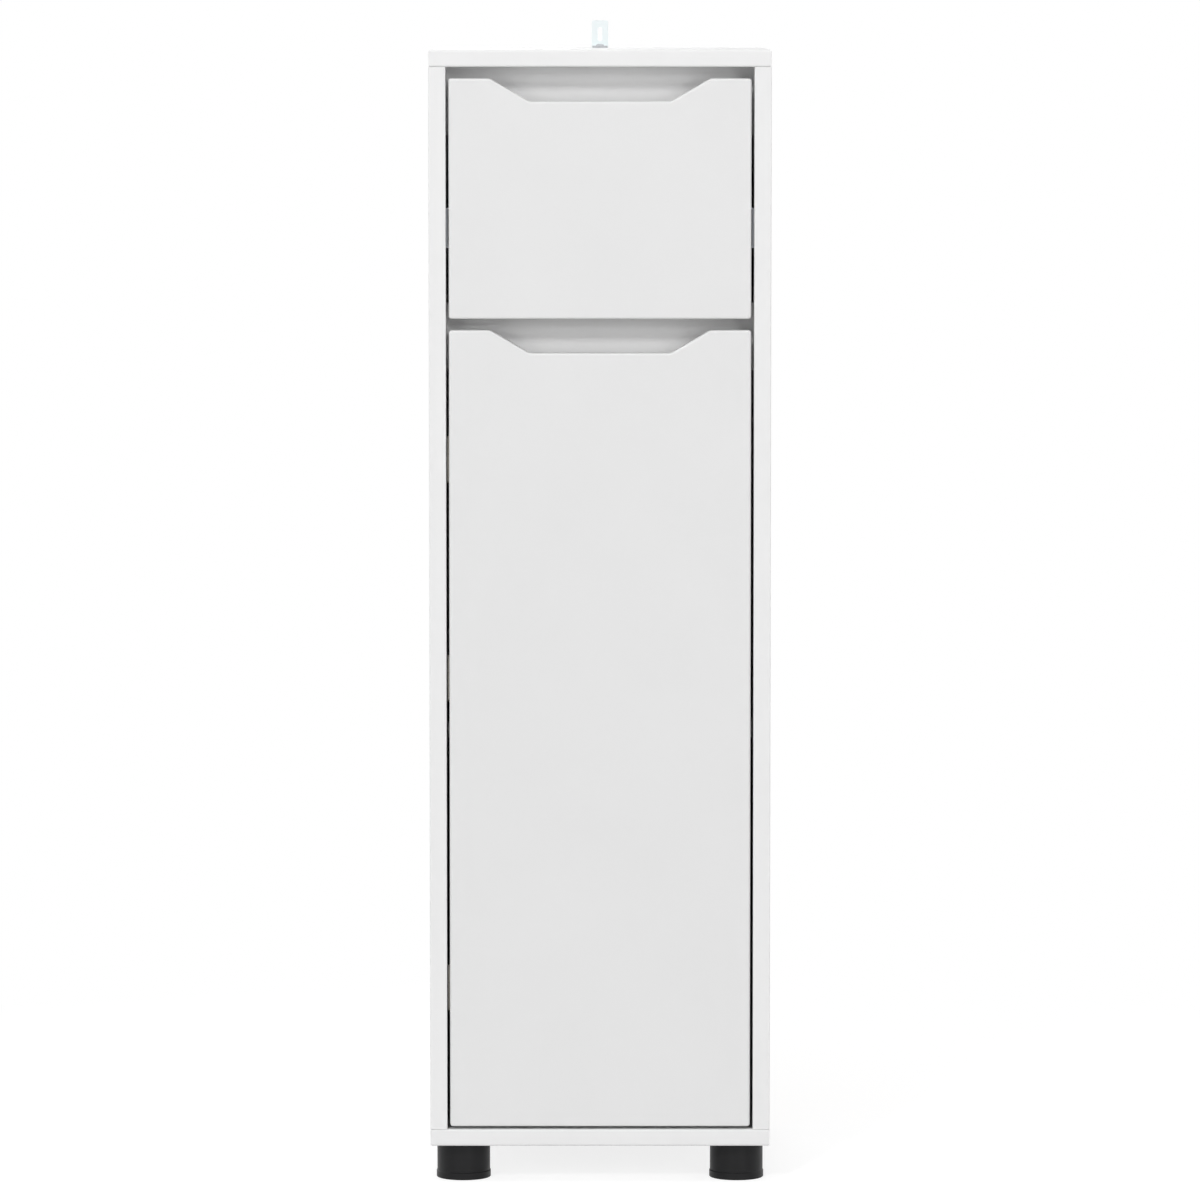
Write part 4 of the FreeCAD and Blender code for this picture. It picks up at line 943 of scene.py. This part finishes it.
@dataclass
class Drawer:
    """Drawer box, its front, its runners and their screws."""

    box: tuple[str, ...] = ("drawer_left_side", "drawer_right_side", "drawer_back")
    runners: tuple[str, ...] = ("left_runner_outer", "right_runner_outer", "left_runner_inner",
                                "right_runner_inner", "left_ball_cages", "right_ball_cages")

    def build(self) -> None:
        """Dress the drawer and make its fixings."""
        low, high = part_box("drawer_bottom")
        middle = (low + high) / 2
        dress(("drawer_front",), FOIL)
        dress(self.box, DRAWER_BOARD)
        dress(("drawer_bottom",), FLOOR_BOARD)
        dress(self.runners, ZINC)
        CamLocks("drawer_cam_locks", "drawer_box_cam_locks", CAST_ZINC, towards=middle).build()
        CamBolts("drawer_cam_bolts", "drawer_front_cam_bolts", SCREW_ZINC).build()
        PanScrews("drawer_screws", "drawer_back_crosshead_screws", SCREW_ZINC).build()
        PanScrews("runner_screws", "outer_runner_crosshead_screws", SCREW_ZINC).build()
        PanScrews("drawer_runner_screws", "inner_runner_crosshead_screws", SCREW_ZINC).build()


@dataclass
class Door:
    """Door panel, its three concealed hinges and their screws."""

    levels: tuple[str, ...] = ("upper", "middle", "lower")
    pieces: tuple[str, ...] = ("cup", "plate", "arm")

    def build(self) -> None:
        """Dress the door and make its hinge screws."""
        dress(("door_panel",), FOIL)
        dress([f"{level}_hinge_{piece}" for level in self.levels for piece in self.pieces], NICKEL)
        dress(("hinge_pins",), NICKEL)
        PanScrews("hinge_cup_screws", "hinge_cup_crosshead_screws", SCREW_ZINC).build()
        PanScrews("hinge_plate_screws", "hinge_plate_crosshead_screws", SCREW_ZINC).build()
        PanScrews("hinge_arm_screws", "hinge_arm_crosshead_screws", SCREW_ZINC).build()


@dataclass(frozen=True)
class Lamp:
    """Square soft lamp: what it is for, its place and side in metres and its power in watts."""

    name: str
    place: tuple[float, float, float]
    size: float
    power: float

    def hang(self, aim: Vector) -> None:
        """Put the lamp in the scene.

        Args:
            aim: point that the lamp looks at.
        """
        light = bpy.data.lights.new(self.name, "AREA")
        light.size = self.size
        light.energy = self.power
        item = bpy.data.objects.new(self.name, light)
        item.location = self.place
        item.rotation_euler = (aim - item.location).to_track_quat("-Z", "Y").to_euler()
        bpy.context.scene.collection.objects.link(item)


@dataclass
class Studio:
    """Pale floor, soft lamps, white surroundings and the camera, in metres."""

    # Camera: width of the picture at the front of the cabinet, heights of its aim and eye, sensor in mm.
    frame_width: float = 1.0545
    aim_height: float = 0.518
    distance: float = 6.0
    eye_height: float = 1.036
    sensor: float = 36.0
    # Strength of the even light and of the floor's own glow.
    # The floor fades to plain white between two distances from the cabinet's middle.
    ambient: float = 0.21
    floor_size: float = 60.0
    floor_glow: float = 0.8
    shadow_reach: tuple[float, float] = (0.45, 1.1)
    # Background, the floor that throws light back, and the floor that shows the shadow.
    white: str = "#FFFFFF"
    bounce: str = "#E4E4E4"
    shade: str = "#9C9C9C"
    lamps: tuple[Lamp, ...] = (
        Lamp("key_lamp", (-3.3, -8.6, 5.9), 1.4, 380),
        Lamp("fill_lamp", (2.9, -7.7, 2.7), 1.3, 102),
        Lamp("low_left_lamp", (-3.4, -7.4, 1.0), 1.2, 37),
        Lamp("low_right_lamp", (3.4, -7.4, 1.0), 1.2, 37),
        Lamp("top_lamp", (0.0, -1.2, 6.8), 3.6, 114),
        Lamp("left_lamp", (-6.0, 0.5, 2.6), 3.0, 44),
        Lamp("right_lamp", (6.0, 0.5, 2.6), 3.0, 44),
        Lamp("rear_lamp", (-1.5, 6.0, 2.8), 3.0, 80),
    )

    def sees_white(self, tree: Tree) -> Socket:
        """Tell the rays that see white from the light that reaches the object.

        Args:
            tree: node tree of the floor or of the surroundings.

        Returns:
            1 for rays from the camera, mirrors and glass, 0 for the others.
        """
        path = add(tree, "ShaderNodeLightPath").outputs
        seen = path["Is Camera Ray"]
        for name in ("Is Glossy Ray", "Is Transmission Ray"):
            seen = add(tree, "ShaderNodeMath", {0: seen, 1: path[name]}, operation="MAXIMUM").outputs[0]
        return seen

    def surroundings(self) -> None:
        """White background and even ambient light."""
        world = bpy.data.worlds.new("studio_surroundings")
        world.use_nodes = True
        tree = world.node_tree
        tree.nodes.clear()
        even, white = (add(tree, "ShaderNodeBackground", {"Color": linear(self.white), "Strength": strength})
                       for strength in (self.ambient, 1.0))
        mixed = add(tree, "ShaderNodeMixShader", {
            0: self.sees_white(tree), 1: even.outputs[0], 2: white.outputs[0]})
        add(tree, "ShaderNodeOutputWorld", {"Surface": mixed.outputs[0]})
        bpy.context.scene.world = world

    def floor(self) -> None:
        """Pale floor that looks white and keeps the cabinet's shadow."""
        half = self.floor_size / 2
        corners = [(-half, -half, 0), (half, -half, 0), (half, half, 0), (-half, half, 0)]
        mesh = bpy.data.meshes.new("studio_floor")
        mesh.from_pydata(corners, [], [(0, 1, 2, 3)])
        made = bpy.data.materials.new("pale_matt_floor")
        made.use_nodes = True
        tree = made.node_tree
        tree.nodes.clear()
        matt, faint = (add(tree, "ShaderNodeBsdfDiffuse", {"Color": linear(colour)})
                       for colour in (self.bounce, self.shade))
        glow, white = (add(tree, "ShaderNodeEmission", {"Color": linear(self.white), "Strength": strength})
                       for strength in (self.floor_glow, 1.0))
        near = add(tree, "ShaderNodeAddShader", {0: faint.outputs[0], 1: glow.outputs[0]})
        where = add(tree, "ShaderNodeTexCoord").outputs["Object"]
        away = add(tree, "ShaderNodeVectorMath", {0: where}, operation="LENGTH").outputs["Value"]
        low, high = self.shadow_reach
        far = add(tree, "ShaderNodeMapRange", {"Value": away, "From Min": low, "From Max": high}).outputs[0]
        seen = add(tree, "ShaderNodeMixShader", {0: far, 1: near.outputs[0], 2: white.outputs[0]})
        mixed = add(tree, "ShaderNodeMixShader", {
            0: self.sees_white(tree), 1: matt.outputs[0], 2: seen.outputs[0]})
        add(tree, "ShaderNodeOutputMaterial", {"Surface": mixed.outputs[0]})
        mesh.materials.append(made)
        item = bpy.data.objects.new("studio_floor", mesh)
        bpy.context.scene.collection.objects.link(item)
        item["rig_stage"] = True

    def camera(self) -> None:
        """Long lens, a little above the top board and tipped down to the middle of the front."""
        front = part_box("door_panel")[0].y
        rise = self.eye_height - self.aim_height
        back = math.sqrt(self.distance ** 2 - rise ** 2)
        lens = bpy.data.cameras.new("photo_camera")
        lens.sensor_width = self.sensor
        lens.lens = self.sensor * self.distance / self.frame_width
        item = bpy.data.objects.new("photo_camera", lens)
        aim = Vector((0, front, self.aim_height))
        item.location = aim + Vector((0, -back, rise))
        item.rotation_euler = (aim - item.location).to_track_quat("-Z", "Y").to_euler()
        bpy.context.scene.collection.objects.link(item)
        bpy.context.scene.camera = item

    def build(self) -> None:
        """Set the stage, the light and the camera."""
        bpy.context.scene.view_settings.view_transform = "Standard"
        self.surroundings()
        self.floor()
        for lamp in self.lamps:
            lamp.hang(Vector((0, 0, self.aim_height)))
        self.camera()


def main() -> None:
    """Build the cabinet's looks in order."""
    logging.basicConfig(level=logging.INFO, format="%(name)s %(message)s")
    for part in (Carcass(), Drawer(), Door(), Studio()):
        part.build()
        log.info("%s done", type(part).__name__)


if __name__ == "__main__":
    main()
